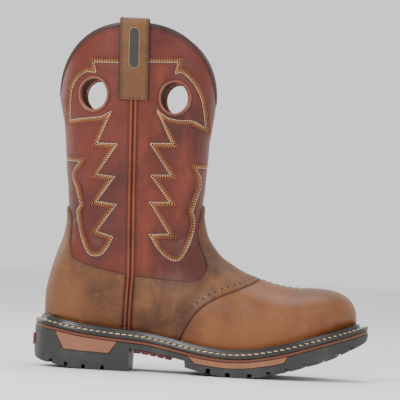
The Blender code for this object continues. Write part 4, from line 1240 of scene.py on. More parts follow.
@dataclass(frozen=True)
class Finishes:
    """Every finish of the boot."""

    shaft: Leather = Leather(
        "shaft_leather", (0.055, 0.008, 0.005), (0.120, 0.017, 0.007), (0.250, 0.048, 0.014),
        worn=0.12, rough=0.40, coat=0.14, grain=0.7, highlight_streak=0.55, burnish_and_shade=0.3,
    )
    saddle: Leather = Leather(
        "saddle_leather", (0.062, 0.021, 0.007), (0.165, 0.060, 0.018), (0.27, 0.110, 0.036),
        worn=0.42, rough=0.50, coat=0.05, grain=1.1, highlight_streak=0.45, burnish_and_shade=0.5,
    )
    toe: Leather = Leather(
        "toe_leather", (0.105, 0.033, 0.009), (0.190, 0.064, 0.018), (0.28, 0.106, 0.034),
        worn=0.30, rough=0.46, coat=0.10, grain=0.7, highlight_streak=0.35, burnish_and_shade=0.3,
    )
    strap: Leather = Leather(
        "strap_leather", (0.060, 0.024, 0.008), (0.140, 0.056, 0.018), (0.24, 0.105, 0.038),
        worn=0.40, rough=0.48, coat=0.06, grain=1.0, highlight_streak=0.4, burnish_and_shade=0.9, edge_reach=0.0030,
    )
    # Its edge darkening is painted shade in the piping's centre groove and along its sunk sides.
    piping: Leather = Leather(
        "piping_leather", (0.095, 0.019, 0.007), (0.185, 0.040, 0.012), (0.29, 0.080, 0.024),
        worn=0.25, rough=0.42, coat=0.15, grain=0.6, highlight_streak=0.4, burnish_and_shade=0.9, edge_reach=0.0012,
    )
    fold: Leather = Leather(
        "fold_leather", (0.020, 0.009, 0.008), (0.045, 0.020, 0.016), (0.09, 0.040, 0.028),
        worn=0.2, rough=0.45, coat=0.15, grain=0.5, highlight_streak=0.2, burnish_and_shade=0.0,
    )
    rim: Leather = Leather(
        "rim_leather", (0.110, 0.026, 0.015), (0.200, 0.050, 0.026), (0.34, 0.115, 0.060),
        worn=0.3, rough=0.34, coat=0.35, grain=0.4, highlight_streak=0.3, burnish_and_shade=0.0,
    )
    lining: Lining = Lining("lining_leather", (0.070, 0.045, 0.030), (0.030, 0.019, 0.014))
    footbed: Lining = Lining("footbed_cover", (0.16, 0.10, 0.065), (0.07, 0.045, 0.03), 500.0)
    welt: Rubber = Rubber("welt_rubber", (0.013, 0.012, 0.011), (0.045, 0.036, 0.030), 0.30, 0.3)
    tread: Rubber = Rubber("tread_rubber", (0.016, 0.016, 0.015), (0.060, 0.056, 0.050), 0.55, 0.5, 0.25)
    stripe: Rubber = Rubber("stripe_rubber", (0.110, 0.030, 0.011), (0.180, 0.060, 0.025), 0.5, 0.5, 0.3)
    inlay: Rubber = Rubber("inlay_rubber", (0.215, 0.080, 0.036), (0.290, 0.125, 0.066), 0.6, 0.6, 0.4)
    arch: Plain = Plain("arch_plate", (0.230, 0.040, 0.026), 0.35)
    badge: Plain = Plain("heel_plate", (0.300, 0.012, 0.020), 0.35, coat=0.3)
    plaque: Plain = Plain("plaque_field", (0.020, 0.017, 0.012), 0.45, stipple=1.0)
    plaque_rim: Plain = Plain("plaque_rim", (0.240, 0.150, 0.070), 0.4)
    # Dark colour of the perforation discs: painted shade inside the holes.
    hole: Plain = Plain("punched_hole", (0.012, 0.006, 0.004), 0.8)
    cream: Thread = Thread("cream_thread", (0.72, 0.56, 0.36), (0.55, 0.40, 0.24))
    beige: Thread = Thread("beige_thread", (0.72, 0.52, 0.32), (0.56, 0.38, 0.22))
    tan: Thread = Thread("tan_thread", (0.52, 0.27, 0.090), (0.40, 0.19, 0.06))
    orange: Thread = Thread("orange_thread", (0.46, 0.135, 0.028), (0.34, 0.095, 0.020))
    rust: Thread = Thread("rust_thread", (0.30, 0.060, 0.018), (0.20, 0.040, 0.014))
    dark: Thread = Thread("dark_thread", (0.035, 0.012, 0.008), (0.020, 0.008, 0.006))
    umber: Thread = Thread("umber_thread", (0.150, 0.065, 0.028), (0.080, 0.035, 0.016))


FINISH = Finishes()


@dataclass(frozen=True)
class Stitch:
    """Sizes of a row of stitches."""

    pitch: float
    length: float
    width: float
    height: float


class Row(Enum):
    """Every kind of row on the boot; a punched row's last size has no effect."""

    OVERLAY = Stitch(0.0027, 0.0024, 0.0008, 0.0006)
    EDGE = Stitch(0.0022, 0.0017, 0.0007, 0.0005)
    PERFORATION = Stitch(0.0064, 0.0019, 0.0019, 1.0)
    PINHOLE = Stitch(0.0021, 0.0008, 0.0008, 1.0)
    BEHIND = Stitch(0.0024, 0.0020, 0.0007, 0.0005)
    RIM = Stitch(0.0028, 0.0022, 0.0007, 0.0005)
    COLLAR = Stitch(0.0027, 0.0022, 0.0007, 0.0005)
    PIPING = Stitch(0.0031, 0.0021, 0.0009, 0.0006)
    STRAP = Stitch(0.0030, 0.0024, 0.0008, 0.0006)
    FLAME = Stitch(0.0024, 0.0022, 0.0009, 0.0007)
    WELT = Stitch(0.0060, 0.0058, 0.0016, 0.0012)


class GrowthTree:
    """Geometry Nodes that set small bodies along lines, standing on a surface."""

    def __init__(self, name: str, hollow: bool = False) -> None:
        """Builds the tree; a hollow one sets flat discs, any other one stitches."""
        self.tree = bpy.data.node_groups.new(name, "GeometryNodeTree")
        self.sockets: dict[str, str] = {}
        face = self.tree.interface
        face.new_socket("Geometry", in_out="INPUT", socket_type="NodeSocketGeometry")
        for label in ("Pitch", "Length", "Width", "Height"):
            made = face.new_socket(label, in_out="INPUT", socket_type="NodeSocketFloat")
            self.sockets[label] = made.identifier
        made = face.new_socket("Finish", in_out="INPUT", socket_type="NodeSocketMaterial")
        self.sockets["Finish"] = made.identifier
        face.new_socket("Geometry", in_out="OUTPUT", socket_type="NodeSocketGeometry")
        self.build(hollow)

    def add(self, kind: str, settings: dict, links: dict) -> bpy.types.Node:
        """Adds a node, its settings and its links or values."""
        made = self.tree.nodes.new(kind)
        for key, value in settings.items():
            setattr(made, key, value)
        for key, value in links.items():
            if isinstance(value, bpy.types.NodeSocket):
                self.tree.links.new(value, made.inputs[key])
            else:
                made.inputs[key].default_value = value
        return made

    def build(self, hollow: bool) -> None:
        """Lines become evenly spaced points, and each gets a body on its surface."""
        given = self.tree.nodes.new("NodeGroupInput").outputs
        line = self.add("GeometryNodeMeshToCurve", {}, {"Mesh": given["Geometry"]})
        even = self.add(
            "GeometryNodeResampleCurve",
            {"mode": "LENGTH"},
            {"Curve": line.outputs[0], "Length": given["Pitch"]},
        )
        lift = self.add(
            "GeometryNodeInputNamedAttribute", {"data_type": "FLOAT_VECTOR"}, {"Name": "lift"}
        )
        along = self.add("GeometryNodeInputTangent", {}, {})
        turn = self.add(
            "FunctionNodeAxesToRotation",
            {"primary_axis": "Z", "secondary_axis": "X"},
            {"Primary Axis": lift.outputs[0], "Secondary Axis": along.outputs[0]},
        )
        if hollow:
            body = self.add(
                "GeometryNodeMeshCircle", {"fill_type": "NGON"}, {"Vertices": 12, "Radius": 0.5}
            ).outputs[0]
        else:
            body = self.add(
                "GeometryNodeMeshUVSphere", {}, {"Segments": 6, "Rings": 4, "Radius": 0.5}
            ).outputs[0]
        size = self.add(
            "ShaderNodeCombineXYZ",
            {},
            {"X": given["Length"], "Y": given["Width"], "Z": given["Height"]},
        )
        shaped = self.add("GeometryNodeTransform", {}, {"Geometry": body, "Scale": size.outputs[0]})
        spread = self.add(
            "GeometryNodeInstanceOnPoints",
            {},
            {"Points": even.outputs[0], "Instance": shaped.outputs[0], "Rotation": turn.outputs[0]},
        )
        real = self.add("GeometryNodeRealizeInstances", {}, {"Geometry": spread.outputs[0]})
        smooth = self.add("GeometryNodeSetShadeSmooth", {}, {"Geometry": real.outputs[0]})
        dressed = self.add(
            "GeometryNodeSetMaterial", {}, {"Geometry": smooth.outputs[0], "Material": given["Finish"]}
        )
        out = self.tree.nodes.new("NodeGroupOutput")
        self.tree.links.new(dressed.outputs[0], out.inputs[0])


@dataclass
class Line:
    """A line on a surface, with the surface's normal at each point."""

    points: np.ndarray
    normals: np.ndarray

    def raised(self, distance: float) -> "Line":
        """The line moved off its surface."""
        return Line(self.points + self.normals * distance, self.normals)

    def looped(self) -> "Line":
        """The line with its first point again at its end."""
        ends = (self.points[:1], self.normals[:1])
        return Line(np.vstack([self.points, ends[0]]), np.vstack([self.normals, ends[1]]))


class Workshop:
    """Makes pieces, dresses them and ties them to the frame."""

    def __init__(self) -> None:
        """Prepares the two growth trees and the shared materials."""
        self.stitches = GrowthTree("stitch_row")
        self.punches = GrowthTree("punched_row", hollow=True)
        self.materials: dict[str, bpy.types.Material] = {}

    def dress(self, finish: object) -> bpy.types.Material:
        """The material of a finish, made once."""
        if finish.name not in self.materials:
            self.materials[finish.name] = finish.material()
        return self.materials[finish.name]

    def piece(
        self,
        name: str,
        points: np.ndarray,
        faces: Iterable[Sequence[int]],
        finishes: Sequence[object],
        values: Optional[Field] = None,
        face_finish: Optional[Sequence[int]] = None,
        sharp: float = 180.0,
    ) -> bpy.types.Object:
        """Makes a mesh object at the origin.

        Args:
            name: the piece's name.
            points: its points, in metres.
            faces: its faces, as point numbers.
            finishes: its finishes, one for each material slot.
            values: named values at its points.
            face_finish: each face's material slot.
            sharp: angle in degrees past which an edge is sharp.

        Returns:
            The object.
        """
        data = bpy.data.meshes.new(name)
        data.from_pydata(np.asarray(points).tolist(), [], [tuple(map(int, f)) for f in faces])
        for key, array in (values or {}).items():
            stored = data.attributes.new(key, "FLOAT", "POINT")
            stored.data.foreach_set("value", np.asarray(array, np.float32))
        for finish in finishes:
            data.materials.append(self.dress(finish))
        if face_finish is not None:
            data.polygons.foreach_set("material_index", list(face_finish))
        data.shade_smooth()
        if sharp < 180.0:
            data.set_sharp_from_angle(angle=math.radians(sharp))
        data.update()
        return placed(name, data)

    def fit(self, obj: bpy.types.Object, slot: str, *nodes: str) -> bpy.types.Object:
        """Rides a piece on the boot, hides the nodes it stands for and logs its face count."""
        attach(obj, "root")
        if nodes:
            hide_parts(*nodes)
        LOG.info("%s: %d faces", obj.name, len(obj.data.polygons))
        return obj

    def settled(self, obj: bpy.types.Object) -> bpy.types.Mesh:
        """An object's mesh with its modifiers applied."""
        bpy.context.view_layer.update()
        result = obj.evaluated_get(bpy.context.evaluated_depsgraph_get())
        return bpy.data.meshes.new_from_object(result)

    def outward(self, obj: bpy.types.Object) -> bpy.types.Object:
        """Turns a closed piece's faces outwards."""
        mesh = bmesh.new()
        mesh.from_mesh(obj.data)
        bmesh.ops.remove_doubles(mesh, verts=mesh.verts[:], dist=1e-7)
        bmesh.ops.recalc_face_normals(mesh, faces=mesh.faces[:])
        mesh.to_mesh(obj.data)
        mesh.free()
        return obj

    def grow(
        self,
        name: str,
        lines: Sequence[Line],
        row: Row,
        finish: object,
        slot: str = "seam_leather",
        tree: Optional[GrowthTree] = None,
    ) -> None:
        """Sews or punches a row along lines, and keeps the result as a plain mesh.

        Args:
            name: the piece's name.
            lines: the lines to follow.
            row: the kind of row, with its sizes.
            finish: the bodies' finish.
            slot: the record's material slot, not used.
            tree: the growth tree, stitches if none is given.
        """
        tree = tree or self.stitches
        points = np.vstack([line.points for line in lines])
        normals = np.vstack([line.normals for line in lines])
        edges, base = [], 0
        for line in lines:
            edges += [(base + k, base + k + 1) for k in range(len(line.points) - 1)]
            base += len(line.points)
        data = bpy.data.meshes.new(name + "_lines")
        data.from_pydata(points.tolist(), edges, [])
        lift = data.attributes.new("lift", "FLOAT_VECTOR", "POINT")
        lift.data.foreach_set("vector", normals.astype(np.float32).reshape(-1))
        guide = placed(name + "_lines", data)
        grown = guide.modifiers.new("rows", "NODES")
        grown.node_group = tree.tree
        for label in ("Pitch", "Length", "Width", "Height"):
            grown[tree.sockets[label]] = getattr(row.value, label.lower())
        grown[tree.sockets["Finish"]] = self.dress(finish)
        mesh = self.settled(guide)
        bpy.data.objects.remove(guide)
        mesh.name = name
        self.fit(placed(name, mesh), slot)


@dataclass
class Leatherwork:
    """The upper: shaft, overlays, trims and their stitching."""

    shop: Workshop
    vamp_thick: float = 0.0013
    saddle_thick: float = 0.0018
    counter_thick: float = 0.0015
    edge_round: float = 0.0014
    seam_width: float = 0.0078
    seam_thick: float = 0.0020
    hole_width: float = 0.0255
    hole_height: float = 0.0285
    hole_spread: float = 0.0375
    hole_drop: float = 0.0665
    hole_rim: float = 0.0022
    strap_width: float = 0.0275
    strap_thick: float = 0.0022
    strap_length: float = 0.0700
    strap_inside: float = 0.0340
    row_apart: float = 0.00128
    rows: int = 4
    bend_steps: int = 8
    groove_deep: float = 0.00045
    tuck: float = 0.0004
    sunk: float = 0.0003
    line_deep: float = 0.00025
    line_inset: float = 0.0024
    line_width: float = 0.0011
    foot_edge: float = 0.03
    rib_first: float = 0.052
    rib_pitch: float = 0.0062
    rib_count: int = 6
    rib_half: float = 0.024
    rib_rise: float = 0.0011
    rim_proud: float = 0.0011
    fold_half: float = 0.0020
    fold_deep: float = 0.0024
    fold_shift: float = 0.0012
    fold_row: float = 0.0052
    piping_low: float = 0.036
    piping_row: float = 0.0051
    strap_clear: float = 0.0018
    strap_edge: float = 0.0012
    plaque_length: float = 0.0370
    plaque_width: float = 0.0092
    plaque_rim: float = 0.0010
    plaque_drop: float = 0.0228
    plaque_rise: float = 0.00025

    def build(self) -> None:
        """Builds every piece of the upper."""
        self.relieve()
        self.shaft()
        self.overlays()
        self.rims()
        self.collar()
        self.piping()
        self.straps()
        self.fancy_stitching()

    def flame_lines(self, row: float) -> list[np.ndarray]:
        """The fancy stitching's front and back lines, moved outwards.

        Args:
            row: how many rows outwards, which may be a half.

        Returns:
            The lines, in millimetres from the seam and up.
        """
        lines = []
        for knots, turn in ((FRONT_FLAME, 1), (BACK_FLAME, -1)):
            corners = [k for k, knot in enumerate(knots) if knot.bend is Bend.SHARP]
            parts = []
            for a, b in zip(corners, corners[1:]):
                flat = [(knot.across, knot.height) for knot in knots[a : b + 1]]
                parts.append(spline(flat, self.bend_steps if b - a > 1 else 1)[:-1])
            parts.append(np.array([knots[-1][:2]], float))
            lines.append(beside(np.vstack(parts), row * self.row_apart / MM * turn))
        return lines

    def side_view(self, line: np.ndarray) -> np.ndarray:
        """A line given from the seam, as x and z in metres."""
        z = line[:, 1] * MM
        return np.stack([LAST.seam_x(z) + line[:, 0] * MM, z], axis=1)

    def relieve(self) -> None:
        """Works creases and the pull of the fancy stitching into the surface, and keeps a mask of painted
        shade along the stitching.
        """
        sheet = LAST.sheet
        flat = sheet.points[:, [0, 2]]
        sink = np.zeros(len(flat))
        for crease in CREASES:
            angle = math.radians(crease.turn)
            gap = flat / MM - np.array([crease.x, crease.z])
            along = gap @ np.array([math.cos(angle), math.sin(angle)])
            across = gap @ np.array([-math.sin(angle), math.cos(angle)])
            bell = np.exp(-((along / crease.length * 2) ** 2))
            trough = np.exp(-((across / crease.width * 2) ** 2))
            ridge = np.exp(-(((across - crease.width) / crease.width * 2) ** 2))
            sink += crease.depth * MM * bell * (trough - 0.6 * ridge)
        high = flat[:, 1] > 0.085
        near = np.full(len(flat), 1.0)
        for line in self.flame_lines((self.rows - 1) / 2):
            distance, _ = from_line(self.side_view(resample(line, 1.5)), flat[high])
            near[high] = np.minimum(near[high], np.abs(distance))
        # Mask for painted shade along the sunk stitching groove.
        sheet.values["groove"] = np.exp(-((near / 0.0032) ** 2))
        sink += self.groove_deep * np.exp(-((near / 0.0030) ** 2))
        sheet.points = sheet.points - sheet.normals * sink[:, None]
        self.edge_fields(sheet)

    def edge_fields(self, sheet: Sheet) -> None:
        """Stores the distance to each overlay's edge at every point of the surface."""
        flat = sheet.points[:, [0, 2]]
        front = LAST.edge_line(SADDLE_FRONT)
        front = np.vstack([front[:1] + (front[:1] - front[1:2]) * 8, front])
        top = LAST.edge_line(SADDLE_TOP)
        top = np.vstack([top, top[-1] + np.array([[0.002, 0.002], [0.08, 0.002]])])
        back = LAST.edge_line(COUNTER_TOP)
        back = np.vstack([back[:1] + np.array([[-0.05, 0.002]]), back])
        seam_z = np.linspace(-0.02, 0.34, 40)
        seam = np.stack([LAST.seam_x(seam_z), seam_z], axis=1)
        for name, line, sign in (
            ("front", front, 1.0),
            ("saddle_top", top, -1.0),
            ("counter_top", back, -1.0),
            ("seam", seam, 1.0),
        ):
            distance, grows = from_line(line, flat)
            grow = np.stack([grows[:, 0], np.zeros(len(flat)), grows[:, 1]], axis=1)
            normals = sheet.normals
            slope = grow - normals * (grow * normals).sum(axis=1, keepdims=True)
            steep = np.maximum(0.3, np.linalg.norm(slope, axis=1))
            sheet.values[name] = sign * distance / steep
        oval = np.full(len(flat), 1.0)
        for x, z in self.hole_centres():
            away = (flat - np.array([x, z])) / np.array([self.hole_width / 2, self.hole_height / 2])
            oval = np.minimum(oval, (np.linalg.norm(away, axis=1) - 1) * self.hole_width / 2)
        sheet.values["hole"] = np.where(flat[:, 1] > 0.2, oval, 1.0)

    def hole_centres(self) -> list[tuple[float, float]]:
        """Middles of the pull holes, back and front, as x and z."""
        z = LAST.shaft_top - self.hole_drop
        return [(float(LAST.seam_x(z)) + s * self.hole_spread, z) for s in (-1, 1)]

    def shaft(self) -> None:
        """The hollow leather body with its lining and pull holes."""
        sheet = LAST.sheet.within("hole")
        count = len(sheet.points)
        points = np.vstack([sheet.points, sheet.points - sheet.normals * WALL])
        low = sheet.points[:, 2] < self.foot_edge
        points[count:][low, 2] = points[:count][low, 2]
        faces = sheet.tris.tolist() + (sheet.tris[:, ::-1] + count).tolist()
        inner = [0] * len(sheet.tris) + [1] * len(sheet.tris)
        for a, b in sheet.rim():
            faces += [(b, a, a + count), (b, a + count, b + count)]
            inner += [1, 1]
        values = plain_values(2 * count)
        # The outer face carries the painted groove shade.
        values["groove"][:count] = sheet.values["groove"]
        finishes = (FINISH.shaft, FINISH.lining)
        obj = self.shop.piece("shaft_and_lining", points, faces, finishes, values, inner)
        self.shop.fit(obj, "shaft_leather", "upper")

    def overlay(
        self, name: str, sheet: Sheet, thick: float, finish: Leather, slot: str, node: str
    ) -> Sheet:
        """Lays a leather overlay whose edge is rounded down to the layer under it.

        Args:
            name: the piece's name.
            sheet: the surface, with its edge distance stored as "edge".
            thick: the leather's thickness.
            finish: its finish.
            slot: the record's material slot, not used.
            node: the node it stands for.

        Returns:
            The cut sheet, with its points on the overlay's outer face.
        """
        for share in (0.12, 0.45, 1.0):
            sheet = sheet.split("edge", share * self.edge_round)
        sheet = sheet.within("edge")
        share = np.clip(sheet.values["edge"] / self.edge_round, 0, 1)
        lift = -self.sunk + (thick + self.sunk) * np.sqrt(1 - (1 - share) ** 2)
        beside_row = (sheet.values["edge"] - self.line_inset) / self.line_width
        lift -= self.line_deep * np.exp(-(beside_row**2))
        lift += sheet.values.get("swell", 0.0)
        sheet.points = sheet.points + sheet.normals * lift[:, None]
        values = {"edge": sheet.values["edge"], "groove": sheet.values["groove"] * 0.0}
        obj = self.shop.piece(name, sheet.points, sheet.tris, (finish,), values)
        self.shop.fit(obj, slot, node)
        return sheet

    def rows_along(
        self, sheet: Sheet, name: str, distances: Sequence[float], lift: float = 0.0
    ) -> list[Line]:
        """Lines on a laid overlay at distances from its edge."""
        lines = []
        for distance in distances:
            cut = sheet.split(name, distance)
            for chain in cut.level_lines(name, distance):
                if len(chain) > 4:
                    lines.append(Line(cut.points[chain], cut.normals[chain]).raised(lift))
        return lines

    def overlays(self) -> None:
        """Vamp, saddle and counter, with their stitches and perforations."""
        base = LAST.sheet
        front, seam = base.values["front"], base.values["seam"]
        clear = self.seam_width / 2 - self.tuck
        saddle_edge = np.minimum(base.values["saddle_top"], -seam - clear)
        laid = []
        for name, thick, finish, slot, node, edge in (
            ("toe_vamp", self.vamp_thick, FINISH.toe, "toe_leather", "vamp", front + self.tuck),
            (
                "saddle_overlay", self.saddle_thick, FINISH.saddle, "saddle_leather", "saddle",
                np.minimum(saddle_edge, -front),
            ),
            (
                "heel_counter", self.counter_thick, FINISH.saddle, "saddle_leather", "counter",
                np.minimum(base.values["counter_top"], seam - clear),
            ),
        ):
            values = dict(base.values, edge=edge)
            if node == "vamp":
                values["swell"] = self.flex_ribs(base)
            sheet = Sheet(base.points, base.normals, base.tris, values).within("edge", -0.002)
            laid.append(self.overlay(name, sheet, thick, finish, slot, node))
        _, saddle, counter = laid
        insets = (0.0022, 0.0046)
        tops = self.rows_along(saddle, "saddle_top", insets)
        tops += self.rows_along(counter, "counter_top", insets)
        self.shop.grow("overlay_stitches", tops, Row.OVERLAY, FINISH.umber)
        saddle.values["ahead"] = -saddle.values["front"]
        rows = self.rows_along(saddle, "ahead", (0.0020,))
        self.shop.grow("saddle_edge_stitches", rows, Row.EDGE, FINISH.dark)
        # Dark flat discs over the uncut leather: painted shade of the punched holes.
        for name, distances, row in (
            ("saddle_perforations", (0.0066,), Row.PERFORATION),
            ("saddle_pinholes", (0.0045, 0.0088), Row.PINHOLE),
        ):
            holes = self.rows_along(saddle, "ahead", distances, 0.00008)
            self.shop.grow(name, holes, row, FINISH.hole, "saddle_leather", self.shop.punches)
        rows = self.rows_along(saddle, "ahead", (0.0112,))
        self.shop.grow("saddle_row_stitches", rows, Row.BEHIND, FINISH.umber)

    def flex_ribs(self, sheet: Sheet) -> np.ndarray:
        """Rise of the short cross ribs sewn over the toe's ridge."""
        x, y = sheet.points[:, 0], sheet.points[:, 1]
        place = (x - self.rib_first) / self.rib_pitch
        wave = 0.5 - 0.5 * np.cos(2 * math.pi * place)
        inside = ease(place / 0.3) * ease((self.rib_count - place) / 0.3)
        reach = ease((self.rib_half - np.abs(y)) / 0.006) * ease((sheet.normals[:, 2] - 0.3) / 0.3)
        return self.rib_rise * wave * inside * reach

    def rims(self) -> None:
        """Folded rims round the four pull holes."""
        across, up = rounded(turns(14), 0.8)
        across = self.hole_rim / 2 + 0.62 * self.hole_rim * across
        up = -WALL / 2 + (WALL / 2 + self.rim_proud) * up
        profile = np.stack([across, up], axis=1)
        for side in Side:
            for (x, z), place in zip(self.hole_centres(), ("back", "front")):
                path, normals = [], []
                for a in turns(56):
                    hole_x = x + self.hole_width / 2 * math.cos(a)
                    hit = LAST.cast(hole_x, z + self.hole_height / 2 * math.sin(a), side.value)
                    path.append(hit[0])
                    normals.append(hit[1])
                path, normals = np.array(path), np.array(normals)
                away = unit(np.cross(tangents(path), normals))
                away *= np.sign(((path - path.mean(axis=0)) * away).sum(axis=1, keepdims=True))
                points, faces = sweep(path, away, normals, profile)
                name = f"pull_hole_rim_{side.name.lower()}_{place}"
                values = plain_values(len(points))
                obj = self.shop.outward(self.shop.piece(name, points, faces, (FINISH.rim,), values))
                self.shop.fit(obj, "seam_leather", f"hole_ring_{side.name.lower()}_{place}")
                row = Line(path + away * (self.hole_rim + 0.0012), normals).looped()
                self.shop.grow(name + "_stitches", [row], Row.RIM, FINISH.dark)

    def collar(self) -> None:
        """Folded dark edge along the scalloped collar, with its row of stitches."""
        columns = 2 * LAST.side_steps
        top = LAST.collar_row(1.0)[:columns]
        low = LAST.collar_row(1.0 - 1.0 / LAST.collar_steps)[:columns]
        loop = spline(top, 2, closed=True)
        down = unit(spline(low, 2, closed=True) - loop)
        normals = np.array([LAST.nearest_normal(p) for p in loop])
        turn = turns(16)
        across = -WALL / 2 + self.fold_half * rounded(turn, 0.7)[0]
        deep = self.fold_shift + self.fold_deep * rounded(turn, 0.8)[1]
        points, faces = sweep(loop, normals, down, np.stack([across, deep], axis=1))
        values = plain_values(len(points))
        obj = self.shop.outward(self.shop.piece("collar_fold", points, faces, (FINISH.fold,), values))
        self.shop.fit(obj, "binding_leather", "collar_binding")
        row = Line(loop + down * self.fold_row, normals).looped().raised(0.0001)
        self.shop.grow("collar_stitches", [row], Row.COLLAR, FINISH.dark)

    def piping(self) -> None:
        """Two raised bands with a dark line of painted shade between them, over each side seam."""
        across = np.linspace(-0.5, 0.5, 21) * self.seam_width
        round_part = np.clip(1 - ((np.abs(across) - 0.00195) / 0.00175) ** 2, 0, 1)
        rise = -self.sunk + (self.seam_thick + self.sunk) * np.sqrt(round_part)
        # Distance to the centre groove and to the sunk sides; the finish darkens both as painted shade.
        edge = np.minimum(np.abs(across), self.seam_width / 2 - np.abs(across))
        top = LAST.shaft_top - self.strap_length + 0.004
        heights = np.linspace(self.piping_low, top, 190)
        for side in Side:
            points = []
            for z in heights:
                for s, up in zip(across, rise):
                    points.append(LAST.cast(float(LAST.seam_x(z)) + s, z, side.value, up)[0])
            faces = grid_faces(len(heights), len(across))
            if side is Side.MEDIAL:
                faces = [quad[::-1] for quad in faces]
            values = {"edge": np.tile(edge, len(heights)), "groove": np.zeros(len(points))}
            name = f"side_piping_{side.name.lower()}"
            obj = self.shop.piece(name, np.array(points), faces, (FINISH.piping,), values)
            self.shop.fit(obj, "seam_leather", f"seam_{side.name.lower()}")
            lines = []
            for offset in (-self.piping_row, self.piping_row):
                for low, high, rise_by in (
                    (self.piping_low, 0.087, 0.0017),
                    (0.0895, top - 0.004, 0.0),
                ):
                    found = [
                        LAST.cast(float(LAST.seam_x(z)) + offset, z, side.value, rise_by)
                        for z in np.linspace(low, high, 60)
                    ]
                    lines.append(Line(*(np.array([f[k] for f in found]) for k in (0, 1))))
            self.shop.grow(name + "_stitches", lines, Row.PIPING, FINISH.dark)

    def strap_frame(self, side: int) -> tuple[np.ndarray, np.ndarray]:
        """Middle line of a pull strap's outer face, and its normals."""
        top, low = LAST.shaft_top, LAST.shaft_top - self.strap_length
        path, normals = [], []
        for z in np.linspace(low, top - 0.001, 40):
            share = (z - low) / (top - low)
            lift = self.strap_thick + self.sunk + self.strap_clear * ease(share / 0.85)
            hit = LAST.cast(float(LAST.seam_x(z)), z, side)
            flat = unit(np.array([0.0, hit[1][1], hit[1][2]]))
            path.append(hit[0] + flat * lift)
            normals.append(flat)
        radius = self.strap_thick + self.strap_clear + WALL / 2
        crown = path[-1] - normals[-1] * radius
        for angle in np.linspace(0, math.pi, 18)[1:-1]:
            normal = np.array([0.0, side * math.cos(angle), math.sin(angle)])
            path.append(crown + normal * radius + np.array([0.0, 0.0, 0.0008]))
            normals.append(normal)
        for drop in np.linspace(0.0, self.strap_inside, 18):
            z = top - drop
            seen = min(z, top - 0.001)
            hit = LAST.cast(float(LAST.seam_x(seen)), seen, side)
            loose = self.strap_clear * (1 - ease(drop / self.strap_inside))
            lift = WALL + self.strap_thick + self.sunk + loose
            flat = unit(np.array([0.0, hit[1][1], hit[1][2]]))
            path.append(hit[0] - flat * lift + np.array([0.0, 0.0, z - hit[0][2]]))
            normals.append(-flat)
        return np.array(path), np.array(normals)

    def straps(self) -> None:
        """Pull straps with rounded edges, border stitches and a plain plaque."""
        half = self.strap_width / 2
        part = np.array([0.5, 0.8, 0.92, 0.97, 0.995, 1])
        across = np.concatenate([-part[::-1], [0], part]) * half
        corner = np.clip((half - np.abs(across)) / self.strap_edge, 0, 1)
        sink = self.strap_thick * 0.55 * (1 - np.sqrt(1 - (1 - corner) ** 2))
        for side in Side:
            path, normals = self.strap_frame(side.value)
            outer = self.strap_skin(path, normals, across, sink, side.value)
            under = path - normals * self.strap_thick
            inner = self.strap_skin(under, -normals, across, sink * 0.6, side.value, path)
            columns, rows = len(across), len(path)
            points = np.vstack([outer, inner])
            name = f"pull_strap_{side.name.lower()}"
            edge = np.tile(half - np.abs(across), 2 * rows)
            values = {"edge": edge, "groove": np.zeros(len(points))}
            faces = plate_faces(rows, columns)
            obj = self.shop.piece(name, points, faces, (FINISH.strap,), values, sharp=50.0)
            self.shop.outward(obj)
            self.shop.fit(obj, "strap_leather", f"strap_{side.name.lower()}")
            grid = outer.reshape(rows, columns, 3)
            lines = []
            for share in (-0.80, 0.80):
                j = int(np.argmin(np.abs(across / half - share)))
                lines.append(Line(grid[1:, j], normals[1:]))
            ends = grid[1, 3:-3]
            lines.append(Line(ends, np.repeat(normals[1:2], len(ends), axis=0)))
            self.shop.grow(name + "_stitches", lines, Row.STRAP, FINISH.dark)
            self.plaque(name, path[:40], side.value)

    def strap_skin(
        self,
        path: np.ndarray,
        normals: np.ndarray,
        across: np.ndarray,
        sink: np.ndarray,
        side: int,
        guide: Optional[np.ndarray] = None,
    ) -> np.ndarray:
        """Points of one face of a strap, curved round the shaft.

        Args:
            path: the face's middle line.
            normals: its normals.
            across: distances from the middle line.
            sink: how far the face falls there.
            side: sign of y.
            guide: the line whose height gives the lean, path if none is given.

        Returns:
            The points, row by row.
        """
        guide = path if guide is None else guide
        xs = LAST.seam_x(np.minimum(guide[:, 2], LAST.shaft_top))
        points = []
        for place, normal, x in zip(path, normals, xs):
            for s, down in zip(across, sink):
                z = min(max(place[2], LAST.shaft_top - self.strap_length), LAST.shaft_top - 0.0015)
                middle, edge = LAST.cast(x, z, side), LAST.cast(x + s, z, side)
                bend = (edge[0][1] - middle[0][1]) if edge and middle else 0.0
                points.append((x + s, place[1] + bend - normal[1] * down, place[2] - normal[2] * down))
        return np.array(points)

